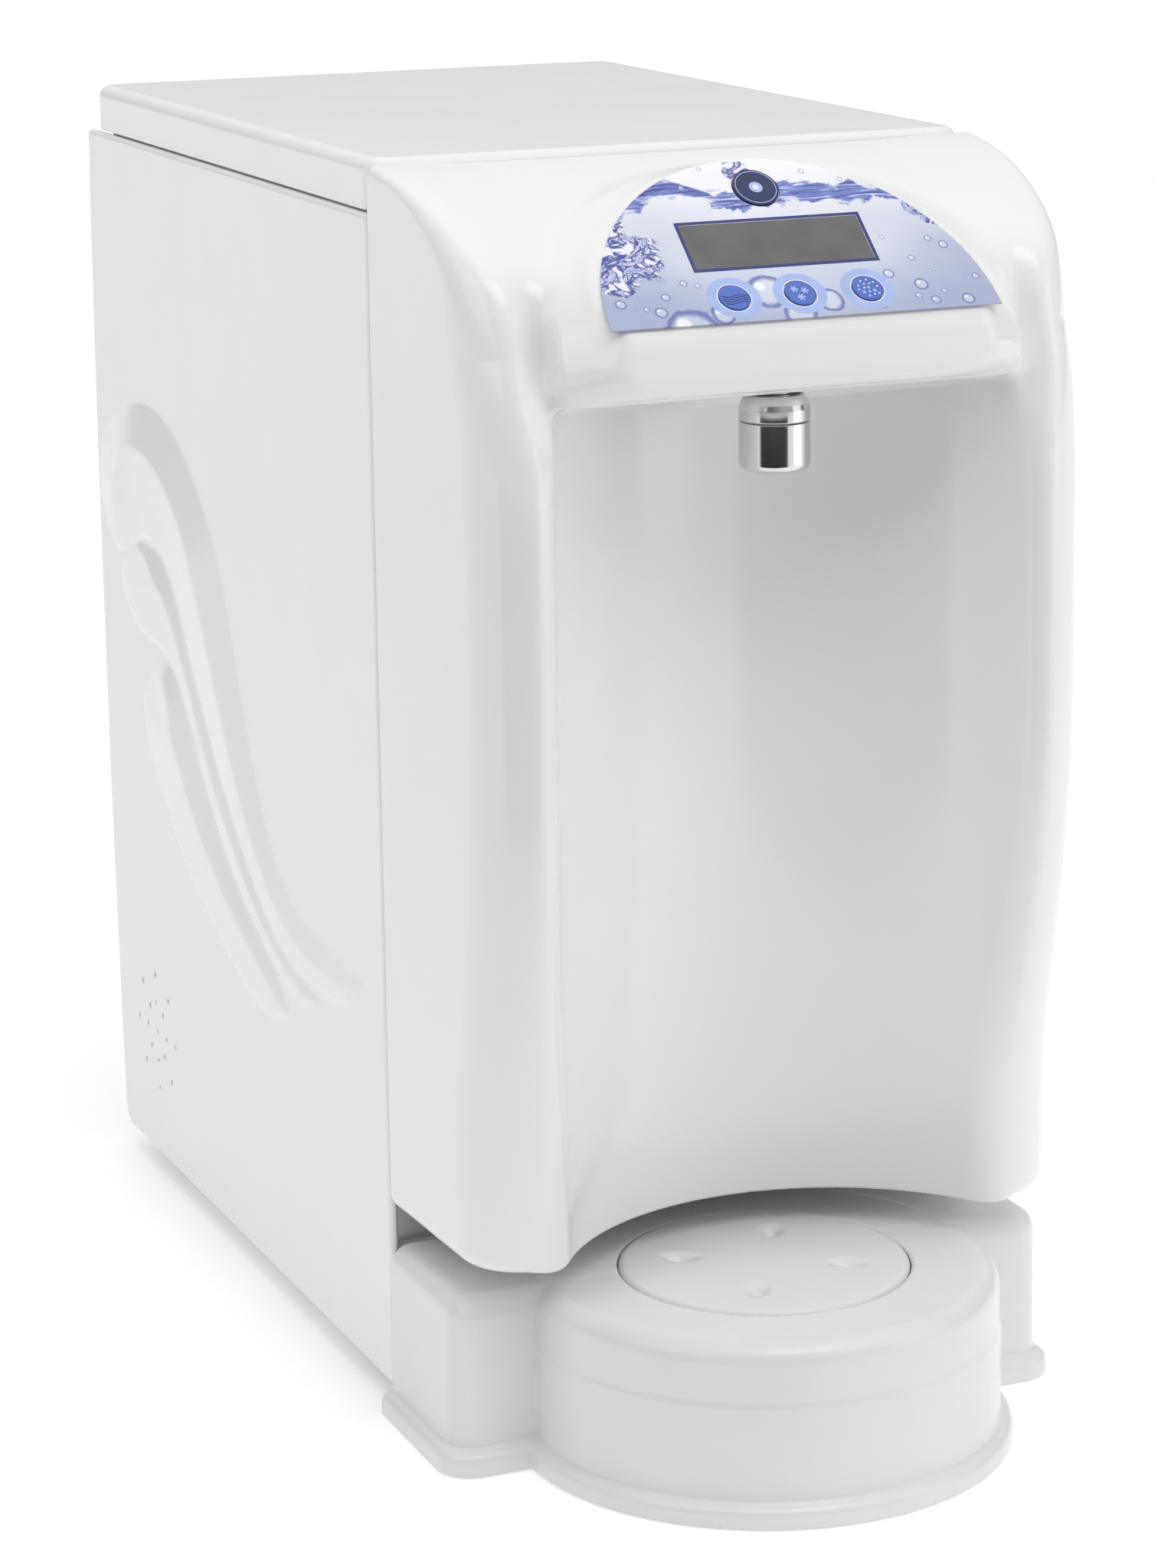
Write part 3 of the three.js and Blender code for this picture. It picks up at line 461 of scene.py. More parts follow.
def fascia_outside(x, y, z):
    """The moulding from outside: bulged pillars, crown, niche and console."""
    face, lean = FRONT(z)
    front = (face - y) / np.sqrt(1 + lean ** 2)
    beside_pod = ((np.abs(x) - 97) / 7) ** 2 + ((z - 425) / 23) ** 2
    front = front + 9.0 * np.exp(-beside_pod)                       # a hollow at each end of it
    crown_r = 46 - 9 * np.clip((np.abs(x) - 82) / 32, 0, 1)
    crown = rmax(front, z - FASCIA_TOP, crown_r)
    side = np.abs(x) - (CROWN_HALF_W + SIDE_DRAFT * (np.maximum(y, -200) + 2.5))
    lower, forward = np.clip((488 - z) / 56, 0, 1), np.clip((-15 - y) / 40, 0, 1)
    body = rmax(crown, side, 4.0 + 4.5 * lower + 16.5 * lower * forward)
    around = np.hypot(x, y - NICHE_Y) - NICHE_R
    body = rmax(body, -rmax(around, z - NICHE_TOP, 5.0), 8.0)
    foot_r = 1.6 + 6.4 * np.clip((around - 3) / 12, 0, 1)
    body = rmax(body, FASCIA_FOOT - z, foot_r)
    blend = 2.5 + 10.0 * np.clip((z - 432) / 34, 0, 1)
    return rmin(body, pod_field(x, y, z), blend)


def fascia_field(x, y, z):
    """The moulding as a shell, open at the back."""
    outside = fascia_outside(x, y, z)
    shell = rmax(outside, -(outside + WALL), 0.3)
    return rmax(shell, y - FASCIA_HIGH[1], 1.2)


def build_fascia():
    low, high = FASCIA_LOW - 4, FASCIA_HIGH + 4
    mesh = field_mesh("fascia_shell", fascia_field, low, high, 1.6)
    return link("fascia_shell", mesh, SHELL, "front_fascia")


# ---------------------------------------------------------------- lid
def lid_field(x, y, z):
    """A shallow cover with rounded edges and a lip that sits inside the body."""
    half, rear = LID_HIGH[0] + 0.6, LID_HIGH[1] + 2.5
    plan = rounded_rect(x, y, (-half, LID_LOW[1]), (half, rear), 9.0)
    outer = rmax(plan, z - LID_HIGH[2] - 0.9, 5.0)
    shell = rmax(np.maximum(outer, -(outer + 3.0)), LID_GAP - z, 0.8)
    inset = 2.3
    ring = rounded_rect(x, y, (LID_LOW[0] + inset, 7), (LID_HIGH[0] - inset, LID_HIGH[1] - 9), 6.0)
    lip = np.maximum(np.maximum(np.abs(ring + 1.0) - 1.0, LID_LOW[2] - z), z - 492)
    return rmin(shell, lip, 0.8)


def build_lid():
    mesh = field_mesh("lid_shell", lid_field, LID_LOW - 4, LID_HIGH + 4, (2.0, 2.0, 1.25))
    return link("lid_shell", mesh, SHELL, "top_lid")


# ---------------------------------------------------------------- side panels
def smooth_points(points, spacing=3.0):
    """Points along a smooth line through the given ones."""
    pts = np.array(points, float)
    knots = np.concatenate([[0], np.cumsum(np.linalg.norm(np.diff(pts, axis=0), axis=1))])
    su, sv = Spline(list(zip(knots, pts[:, 0]))), Spline(list(zip(knots, pts[:, 1])))
    t = np.linspace(0, knots[-1], int(knots[-1] / spacing) + 2)
    return [tuple(p) for p in np.stack([su(t)[0], sv(t)[0]], axis=1)]


def polyline_distance(u, v, points):
    """Distance from each (u, v) to a smooth line through the points."""
    line = smooth_points(points, 4.0)
    best = np.full(np.broadcast(u, v).shape, 1e9)
    for (au, av), (bu, bv) in zip(line[:-1], line[1:]):
        du, dv = bu - au, bv - av
        share = np.clip(((u - au) * du + (v - av) * dv) / (du * du + dv * dv), 0, 1)
        best = np.minimum(best, (u - au - share * du) ** 2 + (v - av - share * dv) ** 2)
    return np.sqrt(best)


def inside_loop(u, v, points):
    """True where (u, v) is inside the closed smooth loop made of the polyline."""
    inside = np.zeros(np.broadcast(u, v).shape, bool)
    for (au, av), (bu, bv) in zip(points, points[1:] + points[:1]):
        crosses = (av > v) != (bv > v)
        at = (bu - au) * (v - av) / ((bv - av) or 1e-9) + au
        inside ^= crosses & (u < at)
    return inside


# Each wave from the side, as (y, z): its leading edge from the tail up, its trailing edge
# from the head down, the slope of its bevel, the step along its trailing edge and how fast
# the land behind the crest rises from that step.
WAVES = [
    {
        "lead": [(22, 170), (73, 174), (116, 186), (146, 218), (170, 265), (199, 319), (231, 346),
                 (268, 361), (319, 357), (351, 341)],
        "trail": [(351, 341), (356, 313), (334, 290), (297, 301), (264, 294), (240, 268),
                  (205, 224), (160, 181), (117, 157), (70, 152), (33, 161), (22, 170)],
        "bevel": 0.27, "step": 1.3, "land": 0.11,
    },
    {
        "lead": [(76, 148), (117, 159), (160, 183), (205, 226), (240, 270), (264, 294), (300, 299)],
        "trail": [(300, 299), (330, 277), (306, 259), (264, 253), (239, 231), (215, 202),
                  (181, 173), (133, 148), (95, 141), (76, 148)],
        "bevel": 0.32, "step": 1.1, "land": 0.09,
    },
    {
        "lead": [(114, 132), (133, 146), (181, 172), (215, 200), (239, 229), (264, 250),
                 (290, 242)],
        "trail": [(290, 242), (303, 224), (287, 195), (252, 165), (195, 137), (140, 125),
                  (114, 132)],
        "bevel": 0.32, "step": 1.0, "land": 0.09,
    },
]
RELIEF_STEP = 1.0


def relief_map():
    """Height of the raised waves over the side panel, on a grid in (y, z)."""
    y = np.arange(0, PANEL_HIGH[1] + RELIEF_STEP, RELIEF_STEP)[:, None]
    z = np.arange(100, 380, RELIEF_STEP)[None, :]
    height = np.zeros((y.size, z.size))
    for wave in WAVES:
        loop = smooth_points(wave["lead"])[:-1] + smooth_points(wave["trail"])[:-1]
        inside = inside_loop(y, z, loop)
        lead = polyline_distance(y, z, wave["lead"])
        trail = polyline_distance(y, z, wave["trail"])
        rise = wave["bevel"] * lead
        land = np.minimum(trail * 0.9, wave["step"]) + wave["land"] * trail
        top = rmin(rise, land, 0.7)
        height = np.maximum(height, np.where(inside, np.maximum(top, 0), 0))
    for _ in range(2):
        padded = np.pad(height, 1, mode="edge")
        height = (padded[1:-1, 1:-1] * 4 + padded[:-2, 1:-1] + padded[2:, 1:-1]
                  + padded[1:-1, :-2] + padded[1:-1, 2:]) / 8
    return y[0, 0], z[0, 0], height


RELIEF = relief_map()


def relief(y, z):
    """The wave height at any point, from the grid by a smooth cubic interpolation."""
    y0, z0, height = RELIEF
    shape = np.broadcast(y, z).shape
    fy = np.clip((y - y0) / RELIEF_STEP, 1, height.shape[0] - 3)
    fz = np.clip((z - z0) / RELIEF_STEP, 1, height.shape[1] - 3)
    iy, iz = np.floor(fy).astype(int), np.floor(fz).astype(int)

    def weights(t):
        return [(1 - t) ** 3 / 6, (3 * t ** 3 - 6 * t * t + 4) / 6,
                (-3 * t ** 3 + 3 * t * t + 3 * t + 1) / 6, t ** 3 / 6]

    total = np.zeros(shape)
    for a, wa in enumerate(weights(fy - iy)):
        for b, wb in enumerate(weights(fz - iz)):
            total = total + wa * wb * height[iy + a - 1, iz + b - 1]
    return total


# The vent rosette: its centre as (y, z), hole radius, ring radii and holes per ring.
VENT = {"at": (306, 70), "hole": 0.95, "rings": (13.7, 27), "per_ring": 8}


def vent_centres():
    y, z = VENT["at"]
    yield y, z
    for r in VENT["rings"]:
        for i in range(VENT["per_ring"]):
            a = 2 * math.pi * i / VENT["per_ring"]
            yield y + r * math.cos(a), z + r * math.sin(a)


def panel_outline(y, z):
    """The panel's edge from the side: small front corners, a rounder low rear corner."""
    low, high = (0.0, PANEL_LOW[2]), (PANEL_HIGH[1] + 3, PANEL_HIGH[2] + 0.7)
    r = np.where(z > 200, 3.0, np.where(y > 180, 9.0, 5.0))
    return rounded_rect(y, z, low, high, r)


def panel_field(side):
    """The side panel as a shell: slightly barrelled, with the waves and the vent holes."""
    def field(x, y, z):
        across = x * side
        barrel = 1.6 * np.clip(y / 360, 0, 1) * (1 - ((z - 245) / 235) ** 2)
        outer = across - BODY_W - barrel - relief(y, z)
        inner = BODY_W - WALL - across
        body = rmax(outer, panel_outline(y, z), 2.2)
        holes = np.full(np.broadcast(y, z).shape, 1e9)
        for cy, cz in vent_centres():
            holes = np.minimum(holes, np.hypot(y - cy, z - cz) - VENT["hole"])
        return rmax(np.maximum(body, inner), -holes, 0.4)
    return field


def build_side(side, name, node):
    low, high = box_mm(node)
    mesh = field_mesh(name, panel_field(side), low - 5, high + 5, 1.5)
    return link(name, mesh, SIDE, node)


# ---------------------------------------------------------------- drip tray and grate
DRUM_Y, GRATE_Y = -78.0, -79.5
TRAY_TOP = TRAY_HIGH[2]
GRATE_R = 56.6


def tray_body(x, y, z, shrink):
    """The drum and its two wings, without the foot."""
    step = np.clip((z - 45.5) / 2.6, 0, 1)
    band = 0.6 * step * step * (3 - 2 * step)
    drum = np.hypot(x, y - DRUM_Y) - (92.6 - band + 0.008 * (40 - z)) + shrink
    wing = rounded_rect(x, y, (-126.3 + shrink, -73 + shrink), (126.3 - shrink, 30), 11.0)
    return drum, wing + 0.008 * (z - 40)


def tray_outside(x, y, z):
    """Drum and wings, flared into a foot all round."""
    drum, wing = tray_body(x, y, z, 0)
    drum_top = rmax(drum, z - TRAY_TOP, 8.0)
    wing_top = rmax(wing, z - TRAY_TOP, 9.0)
    body = rmin(drum_top, wing_top, 0.8)
    foot_drum = rmax(np.hypot(x, y - DRUM_Y) - 97.6, z - 8.5, 3.8)
    foot_wing = rmax(rounded_rect(x, y, (-131.4, -78), (131.4, 40), 14.0), z - 9.5, 4.5)
    foot = rmin(foot_drum, foot_wing, 1.0)
    return rmin(body, foot, 2.0)


def tray_field(x, y, z):
    """The base as a hollow moulding with the drip cup and the grate's seat."""
    outside = tray_outside(x, y, z)
    drum, wing = tray_body(x, y, z, 3.0)
    hollow = rmax(rmin(drum, wing, 2.0), z - TRAY_TOP + 3.5, 8.0)
    from_cup = np.hypot(x, y - GRATE_Y)
    cup_wall = np.maximum(from_cup - 61.5, 5 - z)
    hollow = np.maximum(hollow, -cup_wall)
    cup = np.maximum(from_cup - 54.0, 8 - z)
    seat = np.maximum(from_cup - GRATE_R - 0.5, TRAY_TOP - 4.3 - z)
    body = rmax(outside, -hollow, 0.6)
    body = rmax(rmax(body, -cup, 1.0), -seat, 0.8)
    return rmax(rmax(body, y - TRAY_HIGH[1], 1.5), -z, 0.8)


def grate_field(x, y, z):
    """A slightly raised disc with four oval funnels and a skirt that locates it in the cup."""
    dy = y - GRATE_Y
    rho = np.hypot(x, dy)
    disc = rmax(rho - GRATE_R, z - TRAY_TOP - 0.9, 2.6)
    disc = np.maximum(disc, TRAY_TOP - 4 - z)
    rim = np.maximum(np.abs(rho - 51) - 1.0, np.maximum(TRAY_TOP - 9 - z, z - TRAY_TOP + 1))
    disc = rmin(disc, rim, 0.8)
    for angle in (60, 150, 240, 330):
        a = math.radians(angle)
        along = x * math.cos(a) + dy * math.sin(a) - 32.5
        across = -x * math.sin(a) + dy * math.cos(a)
        depth = np.clip(TRAY_TOP + 0.9 - z, 0, 4)
        wide, narrow = 6.6 - 1.25 * depth, 4.4 - 0.85 * depth
        oval = np.hypot(along / wide, across / narrow)
        disc = rmax(disc, (1 - oval) * narrow * 0.75, 1.6)
    return disc


def build_tray():
    """The base with its cup, and the grate."""
    tray = field_mesh("tray_shell", tray_field, TRAY_LOW - 4, TRAY_HIGH + 4, 1.3)
    link("tray_shell", tray, TRAY, "drip_tray")
    grate = field_mesh("grate_disc", grate_field, GRATE_LOW - 2, GRATE_HIGH + 2, 0.8)
    link("grate_disc", grate, TRAY, "drip_grate")


build_fascia()
build_lid()
build_side(-1, "side_left", "left_side_panel")
build_side(1, "side_right", "right_side_panel")
build_tray()

# ---------------------------------------------------------------- control panel
def label_matrix():
    """Local x across the label, y up its slope, z out of its face, in metres."""
    turn = Matrix.Rotation(LABEL_TILT, 4, "X")
    return Matrix.Translation(world(LABEL_AT)) @ turn


LABEL_FRAME = label_matrix()

# A generic splash: bubbles as (u, v, radius) in millimetres on the label.
BUBBLES = [
    (-46, -3, 11), (-12, 13.5, 8), (-3, 2, 6.5), (10.5, 7.5, 5.5), (-33, 4, 4.5), (38, 18, 2.2),
    (49, 12, 2.8), (46, 6.5, 1.5), (52, 4, 1.9), (60, 34, 1.5), (65, 30.5, 1.9), (50, 25, 1.4),
    (72, 14, 1.5), (57, 8, 1.2), (-70, 12, 2.2), (-66, 17, 1.4), (-61, 9, 1.2), (-52, 14, 1.8),
    (-56, 7, 2.5), (-43, 20, 1.5), (-38, 18.5, 1.2), (-74, 24, 2.0), (30, 3, 1.6), (65, 3.5, 2.6),
    (-28, 66, 1.4), (22, 71, 1.2), (-18, 75, 1.0), (36, 66, 1.1), (42, 36, 1.0), (55, 18, 0.9),
]
SPLASHES = [(-70, 44, 15), (-60, 34, 14), (-66, 24, 9), (66, 45, 6), (60, 51, 5), (-4, 73, 6)]


def splash_material():
    """The printed film: pale lavender fading downwards, a band of dark blue water and bubbles."""
    material, tree, shader = new_material("label_print", 0.28, coat=0.35)
    coords = tree.nodes.new("ShaderNodeTexCoord").outputs["Object"]
    scaled = tree.nodes.new("ShaderNodeVectorMath")
    scaled.operation = "MULTIPLY"
    scaled.inputs[1].default_value = (1000, 1000, 0)
    tree.links.new(coords, scaled.inputs[0])
    plane_mm = scaled.outputs[0]
    split = tree.nodes.new("ShaderNodeSeparateXYZ")
    tree.links.new(plane_mm, split.inputs[0])
    u, v = Value(tree, split.outputs[0]), Value(tree, split.outputs[1])

    def stretched(across, up, shift=0.0):
        mapping = tree.nodes.new("ShaderNodeMapping")
        mapping.inputs["Scale"].default_value = (across, up, 1)
        mapping.inputs["Location"].default_value = (shift, shift, 0)
        tree.links.new(plane_mm, mapping.inputs["Vector"])
        return mapping.outputs[0]

    drift = texture(tree, "Noise", stretched(0.03, 0.05), 1.0, Detail=2.0) - 0.5
    curl = texture(tree, "Noise", stretched(0.09, 0.11, 7.0), 1.0, Detail=4.0, Distortion=1.2) - 0.5
    streaks = texture(tree, "Noise", stretched(0.035, 0.3, 3.0), 1.0, Detail=5.0, Roughness=0.6,
                      Distortion=1.6)
    swirls = texture(tree, "Noise", stretched(0.11, 0.13, 11.0), 1.0, Detail=4.0, Roughness=0.55,
                     Distortion=2.2)

    shade = ((v * -1 + 68) * (1 / 68.0) + drift * 0.5 + u.size() * 0.002).ramp(-0.15, 1.05)
    ground = mixed(tree, shade, (0.95, 0.96, 0.985), (0.39, 0.44, 0.63))
    centre_glow = 1 - distance(u * 0.55, v, (0, 30)).ramp(8, 42)
    ground = mixed(tree, centre_glow * 0.45, ground, (0.80, 0.84, 0.96))

    # the water band: higher at the left, with a ragged outline
    rise = (1 - (u + 36).size().ramp(2, 24)) * 6.5
    middle = rise + 60.2 + (u * 0.11).sine() * 1.2
    reach = (1 - (u + 58).size().ramp(6, 30)) * 4.5 + 5.2
    away = ((v - middle + curl * 15) / reach).size()
    band = 1 - away.ramp(0.72, 1.0)
    rim = away.ramp(0.35, 0.72) * band
    tone = streaks + rim * 0.06
    inky = mixed(tree, tone.ramp(0.36, 0.56), (0.018, 0.026, 0.22), (0.16, 0.23, 0.62))
    inky = mixed(tree, tone.ramp(0.54, 0.68), inky, (0.78, 0.82, 0.95))
    color = mixed(tree, band, ground, inky)

    # splashes: dark veins between white and blue
    blot = None
    for cu, cv, r in SPLASHES:
        one = 1 - (distance(u, v, (cu, cv)) * (1.0 / r) + curl * 1.5).ramp(0.8, 0.98)
        blot = one if blot is None else blot.most(one)
    vein = ((swirls - 0.5).size() * 9).ramp(0.1, 0.9)
    water = mixed(tree, vein, (0.03, 0.05, 0.33), (0.88, 0.90, 0.98))
    water = mixed(tree, (swirls - 0.52).ramp(0.0, 0.16), water, (0.22, 0.30, 0.68))
    color = mixed(tree, blot, color, water)

    # bubbles: a dark ring, a light inside and a glint
    ring, inside, glint = None, None, None
    for cu, cv, r in BUBBLES:
        near = distance(u, v, (cu, cv)) * (1.0 / r)
        near = near + curl * (0.5 if r > 3 else 0.1)
        spot = distance(u, v, (cu - 0.3 * r, cv + 0.35 * r)) * (1.0 / r)
        edge = near.ramp(0.62, 0.9) * (1 - near.ramp(0.93, 1.06))
        body = 1 - near.ramp(0.6, 0.9)
        shine = 1 - spot.ramp(0.18, 0.34)
        ring = edge if ring is None else ring.most(edge)
        inside = body if inside is None else inside.most(body)
        glint = shine if glint is None else glint.most(shine)
    color = mixed(tree, inside * 0.35, color, (0.88, 0.91, 0.99))
    color = mixed(tree, ring * 0.8, color, (0.07, 0.10, 0.42))
    color = mixed(tree, glint * 0.9, color, (0.95, 0.96, 1.0))
    tree.links.new(color, shader.inputs["Base Color"])

    fine = texture(tree, "Noise", coords, 2500.0, Detail=2.0)
    tree.links.new((fine * 0.08 + 0.24).socket, shader.inputs["Roughness"])
    node = tree.nodes.new("ShaderNodeBump")
    node.inputs["Strength"].default_value = 0.03
    node.inputs["Distance"].default_value = 0.0003
    tree.links.new(fine.socket, node.inputs["Height"])
    tree.links.new(node.outputs[0], shader.inputs["Normal"])
    return material


def circle(centre, r, steps=96, squash=1.0):
    turns = [2 * math.pi * i / steps for i in range(steps)]
    return [(centre[0] + r * math.cos(a), centre[1] + r * squash * math.sin(a)) for a in turns]


def rectangle(u0, u1, v0, v1):
    return [(u0, v0), (u1, v0), (u1, v1), (u0, v1)]


def flat_piece(name, outlines, span, looks, bevel=0.0, **link_options):
    """A flat sheet or print on the label: closed outlines filled by the even-odd rule, so that
    an outline inside another is a hole."""
    curve = bpy.data.curves.new(name, "CURVE")
    curve.dimensions, curve.fill_mode = "2D", "BOTH"
    for outline in outlines:
        spline = curve.splines.new("POLY")
        spline.points.add(len(outline) - 1)
        for point, (u, v) in zip(spline.points, outline):
            point.co = (u * MM, v * MM, 0, 1)
        spline.use_cyclic_u = True
    curve.extrude = (span[1] - span[0]) / 2 * MM - bevel * MM
    curve.bevel_depth, curve.bevel_resolution = bevel * MM, 1
    curve.offset = -bevel * MM
    holder = bpy.data.objects.new(name + "_outline", curve)
    bpy.context.scene.collection.objects.link(holder)
    mesh = bpy.data.meshes.new_from_object(holder)
    mesh.name = name
    bpy.data.objects.remove(holder)
    mesh.transform(Matrix.Translation((0, 0, (span[0] + span[1]) / 2 * MM)))
    mesh.materials.clear()
    weld(mesh)
    return link(name, mesh, looks, matrix=LABEL_FRAME, **link_options)


def weld(mesh):
    """Joins the rims that curve conversion leaves apart and turns every face out."""
    bm = bmesh.new()
    bm.from_mesh(mesh)
    bmesh.ops.remove_doubles(bm, verts=bm.verts, dist=1e-7)
    bmesh.ops.recalc_face_normals(bm, faces=bm.faces)
    bm.to_mesh(mesh)
    bm.free()


def lathe_mesh(name, profile, segments=96):
    """A turned solid from [radius, height] points in millimetres, anticlockwise, with
    length-weighted normals, so that straight sides reflect as straight."""
    points = [np.array(p, float) for p in profile]
    closed = points[0][0] > 1e-6 and points[-1][0] > 1e-6
    count = len(points)
    steps = [points[(i + 1) % count] - points[i] for i in range(count if closed else count - 1)]
    angles = 2 * math.pi * np.arange(segments) / segments
    verts, rings, normals = [], [], []
    for i, (r, h) in enumerate(points):
        around = [steps[i - 1]] if (closed or i > 0) else []
        around += [steps[i]] if i < len(steps) else []
        tilt = sum(np.array((d[1], -d[0])) * np.linalg.norm(d) for d in around)
        tilt = np.array((0.0, tilt[1])) if r < 1e-6 else tilt
        tilt = tilt / (np.linalg.norm(tilt) + 1e-12)
        turns = angles if r > 1e-6 else angles[:1]
        rings.append(list(range(len(verts), len(verts) + len(turns))))
        verts += [(r * MM * math.cos(a), r * MM * math.sin(a), h * MM) for a in turns]
        normals += [(tilt[0] * math.cos(a), tilt[0] * math.sin(a), tilt[1]) for a in turns]
    faces = []
    for k in range(len(steps)):
        low, high = rings[k], rings[(k + 1) % count]
        for i in range(segments):
            j = (i + 1) % segments
            corners = [low[i % len(low)], low[j % len(low)],
                       high[j % len(high)], high[i % len(high)]]
            faces.append(tuple(dict.fromkeys(corners)))
    faces = [f for f in faces if len(f) > 2]
    mesh = bpy.data.meshes.new(name)
    mesh.from_pydata(verts, [], faces)
    mesh.polygons.foreach_set("use_smooth", np.ones(len(faces), bool))
    mesh.normals_split_custom_set_from_vertices(normals)
    return mesh


def rounded(profile, r=0.4, steps=3):
    """The profile with its corners rounded to radius r, or less where a side is short."""
    pts = [np.array(p, float) for p in profile]
    closed = profile[0][0] > 1e-6 and profile[-1][0] > 1e-6
    out = []
    for i, here in enumerate(pts):
        if not closed and i in (0, len(pts) - 1):
            out.append(tuple(here))
            continue
        before, after = pts[i - 1], pts[(i + 1) % len(pts)]
        to_before, to_after = before - here, after - here
        lb, la = np.linalg.norm(to_before), np.linalg.norm(to_after)
        if min(lb, la) < 1e-6:
            continue
        to_before, to_after = to_before / lb, to_after / la
        half = math.acos(float(np.clip(to_before @ to_after, -1, 1))) / 2
        if half > math.radians(86):
            out.append(tuple(here))
            continue
        reach = min(r / math.tan(half), 0.45 * lb, 0.45 * la)
        for k in range(steps + 1):
            t = k / steps
            a, b = here + to_before * reach, here + to_after * reach
            out.append(tuple((1 - t) ** 2 * a + 2 * t * (1 - t) * here + t * t * b))
    return out


# Each key: its middle as (u, v) on the label, its radius and its look.
BUTTONS = {
    "button_stop_prog": ((1, 64), 9.2, NAVY),
    "button_still_ambient": ((-26, 11.5), 6.2, BLUE),
    "button_still_cold": ((0, 11.5), 6.2, BLUE),
    "button_sparkling_cold": ((27, 11.5), 6.2, BLUE),
}
WINDOW = (-35.6, 35.6, 26.2, 47.7)
PRINT = (LABEL_TOP - 0.05, LABEL_TOP + 0.04)     # lowest and highest face of a print on the film
KEY_TOP = 1.4
KEY_PRINT = (KEY_TOP - 0.03, KEY_TOP + 0.04)     # and of a print on a key


def build_label():
    """The printed film with its cut-outs, and the display window."""
    half_circle = [((LABEL_R - 1.6) * math.cos(a), LABEL_R * math.sin(a))
                   for a in np.linspace(0, math.pi, 121)]
    holes = [circle(at, r + 0.1) for at, r, _ in BUTTONS.values()]
    flat_piece("label_film", [half_circle, rectangle(*WINDOW), *holes], (0.3, LABEL_TOP),
               splash_material(), bevel=0.1, node="control_overlay")
    u0, u1, v0, v1 = WINDOW
    out = 1.5
    flat_piece("window_border", [rectangle(u0 - out, u1 + out, v0 - out, v1 + out),
                                 rectangle(u0 - 0.1, u1 + 0.1, v0 - 0.1, v1 + 0.1)],
               PRINT, BORDER, body="chassis", slot="key_dark")
    flat_piece("window_glass", [rectangle(u0 + 0.1, u1 - 0.1, v0 + 0.1, v1 - 0.1)],
               (-3.4, LABEL_TOP - 0.1), DISPLAY, bevel=0.15, node="display_window")


def build_buttons():
    """The four keys with the signs printed on them and around them."""
    for node, ((u, v), r, look) in BUTTONS.items():
        body = BODY_OF[node]
        side = r - 0.4
        profile = rounded([(0, -4), (side, -4), (side, KEY_TOP - 0.25), (r - 0.9, KEY_TOP),
                           (0, KEY_TOP)], 0.3)
        mesh = lathe_mesh(node + "_key", profile)
        mesh.transform(Matrix.Translation((u * MM, v * MM, 0)))
        link(node + "_key", mesh, look, node, matrix=LABEL_FRAME)
        if look is NAVY:
            flat_piece("stop_ring", [circle((u, v), r - 1.2), circle((u, v), r - 1.5)],
                       KEY_PRINT, PALE, body=body, slot="key_blue")
            flat_piece("stop_centre", [circle((u, v), 2.6)], KEY_PRINT, PALE, body=body,
                       slot="key_blue")
            flat_piece("stop_dot", [circle((u, v), 1.2)], (KEY_TOP, KEY_TOP + 0.06), WHITE,
                       body=body, slot="key_blue")
            continue
        flat_piece(node + "_halo", [circle((u, v), 10.4, squash=0.94), circle((u, v), r + 0.5)],
                   PRINT, PALE, body="chassis", slot="key_blue")
        flat_piece(node + "_ring", [circle((u, v), r + 0.5), circle((u, v), r + 0.1)], PRINT, WHITE,
                   body="chassis", slot="key_blue")
    waves_icon()
    flakes_icon("flakes", (0, 11.5), [(-1.9, 1.8, 1.75), (1.9, 0.9, 1.75), (-0.4, -2.2, 1.75)],
                BODY_OF["button_still_cold"])
    flakes_icon("fizz", (27, 11.5), [(2.3, -1.4, 1.0), (-2.2, -1.9, 1.0), (0.3, 0.2, 0.9)],
                BODY_OF["button_sparkling_cold"])
    fizz_dots()


def waves_icon():
    """Four wavy lines over the lower half of the still water key."""
    cu, cv = BUTTONS["button_still_ambient"][0]
    lines = []
    for k in range(4):
        level = 0.6 - 1.15 * k
        half = math.sqrt(5.1 ** 2 - level ** 2)
        us = np.linspace(-half, half, 25)
        mid = [(cu + t, cv + level + 0.45 * math.sin(t * 0.75)) for t in us]
        lines.append([(a, b + 0.2) for a, b in mid] + [(a, b - 0.2) for a, b in reversed(mid)])
    flat_piece("wave_lines", lines, KEY_PRINT, NAVY, body=BODY_OF["button_still_ambient"],
               slot="key_dark")


def flakes_icon(name, centre, places, body):
    """Small six-petalled ice flowers."""
    outlines = []
    for du, dv, r in places:
        turns = np.linspace(0, 2 * math.pi, 49)[:-1]
        outlines.append([
            (centre[0] + du + r * (0.68 + 0.32 * math.cos(6 * a)) * math.cos(a),
             centre[1] + dv + r * (0.68 + 0.32 * math.cos(6 * a)) * math.sin(a)) for a in turns
        ])
    flat_piece(name, outlines, KEY_PRINT, PALE, body=body, slot="key_blue")


def fizz_dots():
    """Bubbles on the sparkling water key."""
    cu, cv = BUTTONS["button_sparkling_cold"][0]
    places = [(-3.4, 1.2), (-1.8, 3.4), (0.6, 3.9), (2.9, 2.6), (3.9, 0.6), (-0.9, 1.9), (1.3, 2.0),
              (-3.8, -0.6), (0.1, -1.8), (-0.6, -3.8), (1.6, -3.2), (3.6, -2.9), (-1.4, 0.1)]
    flat_piece("fizz_dots", [circle((cu + a, cv + b), 0.38, 20) for a, b in places], KEY_PRINT,
               WHITE, body=BODY_OF["button_sparkling_cold"], slot="key_blue")


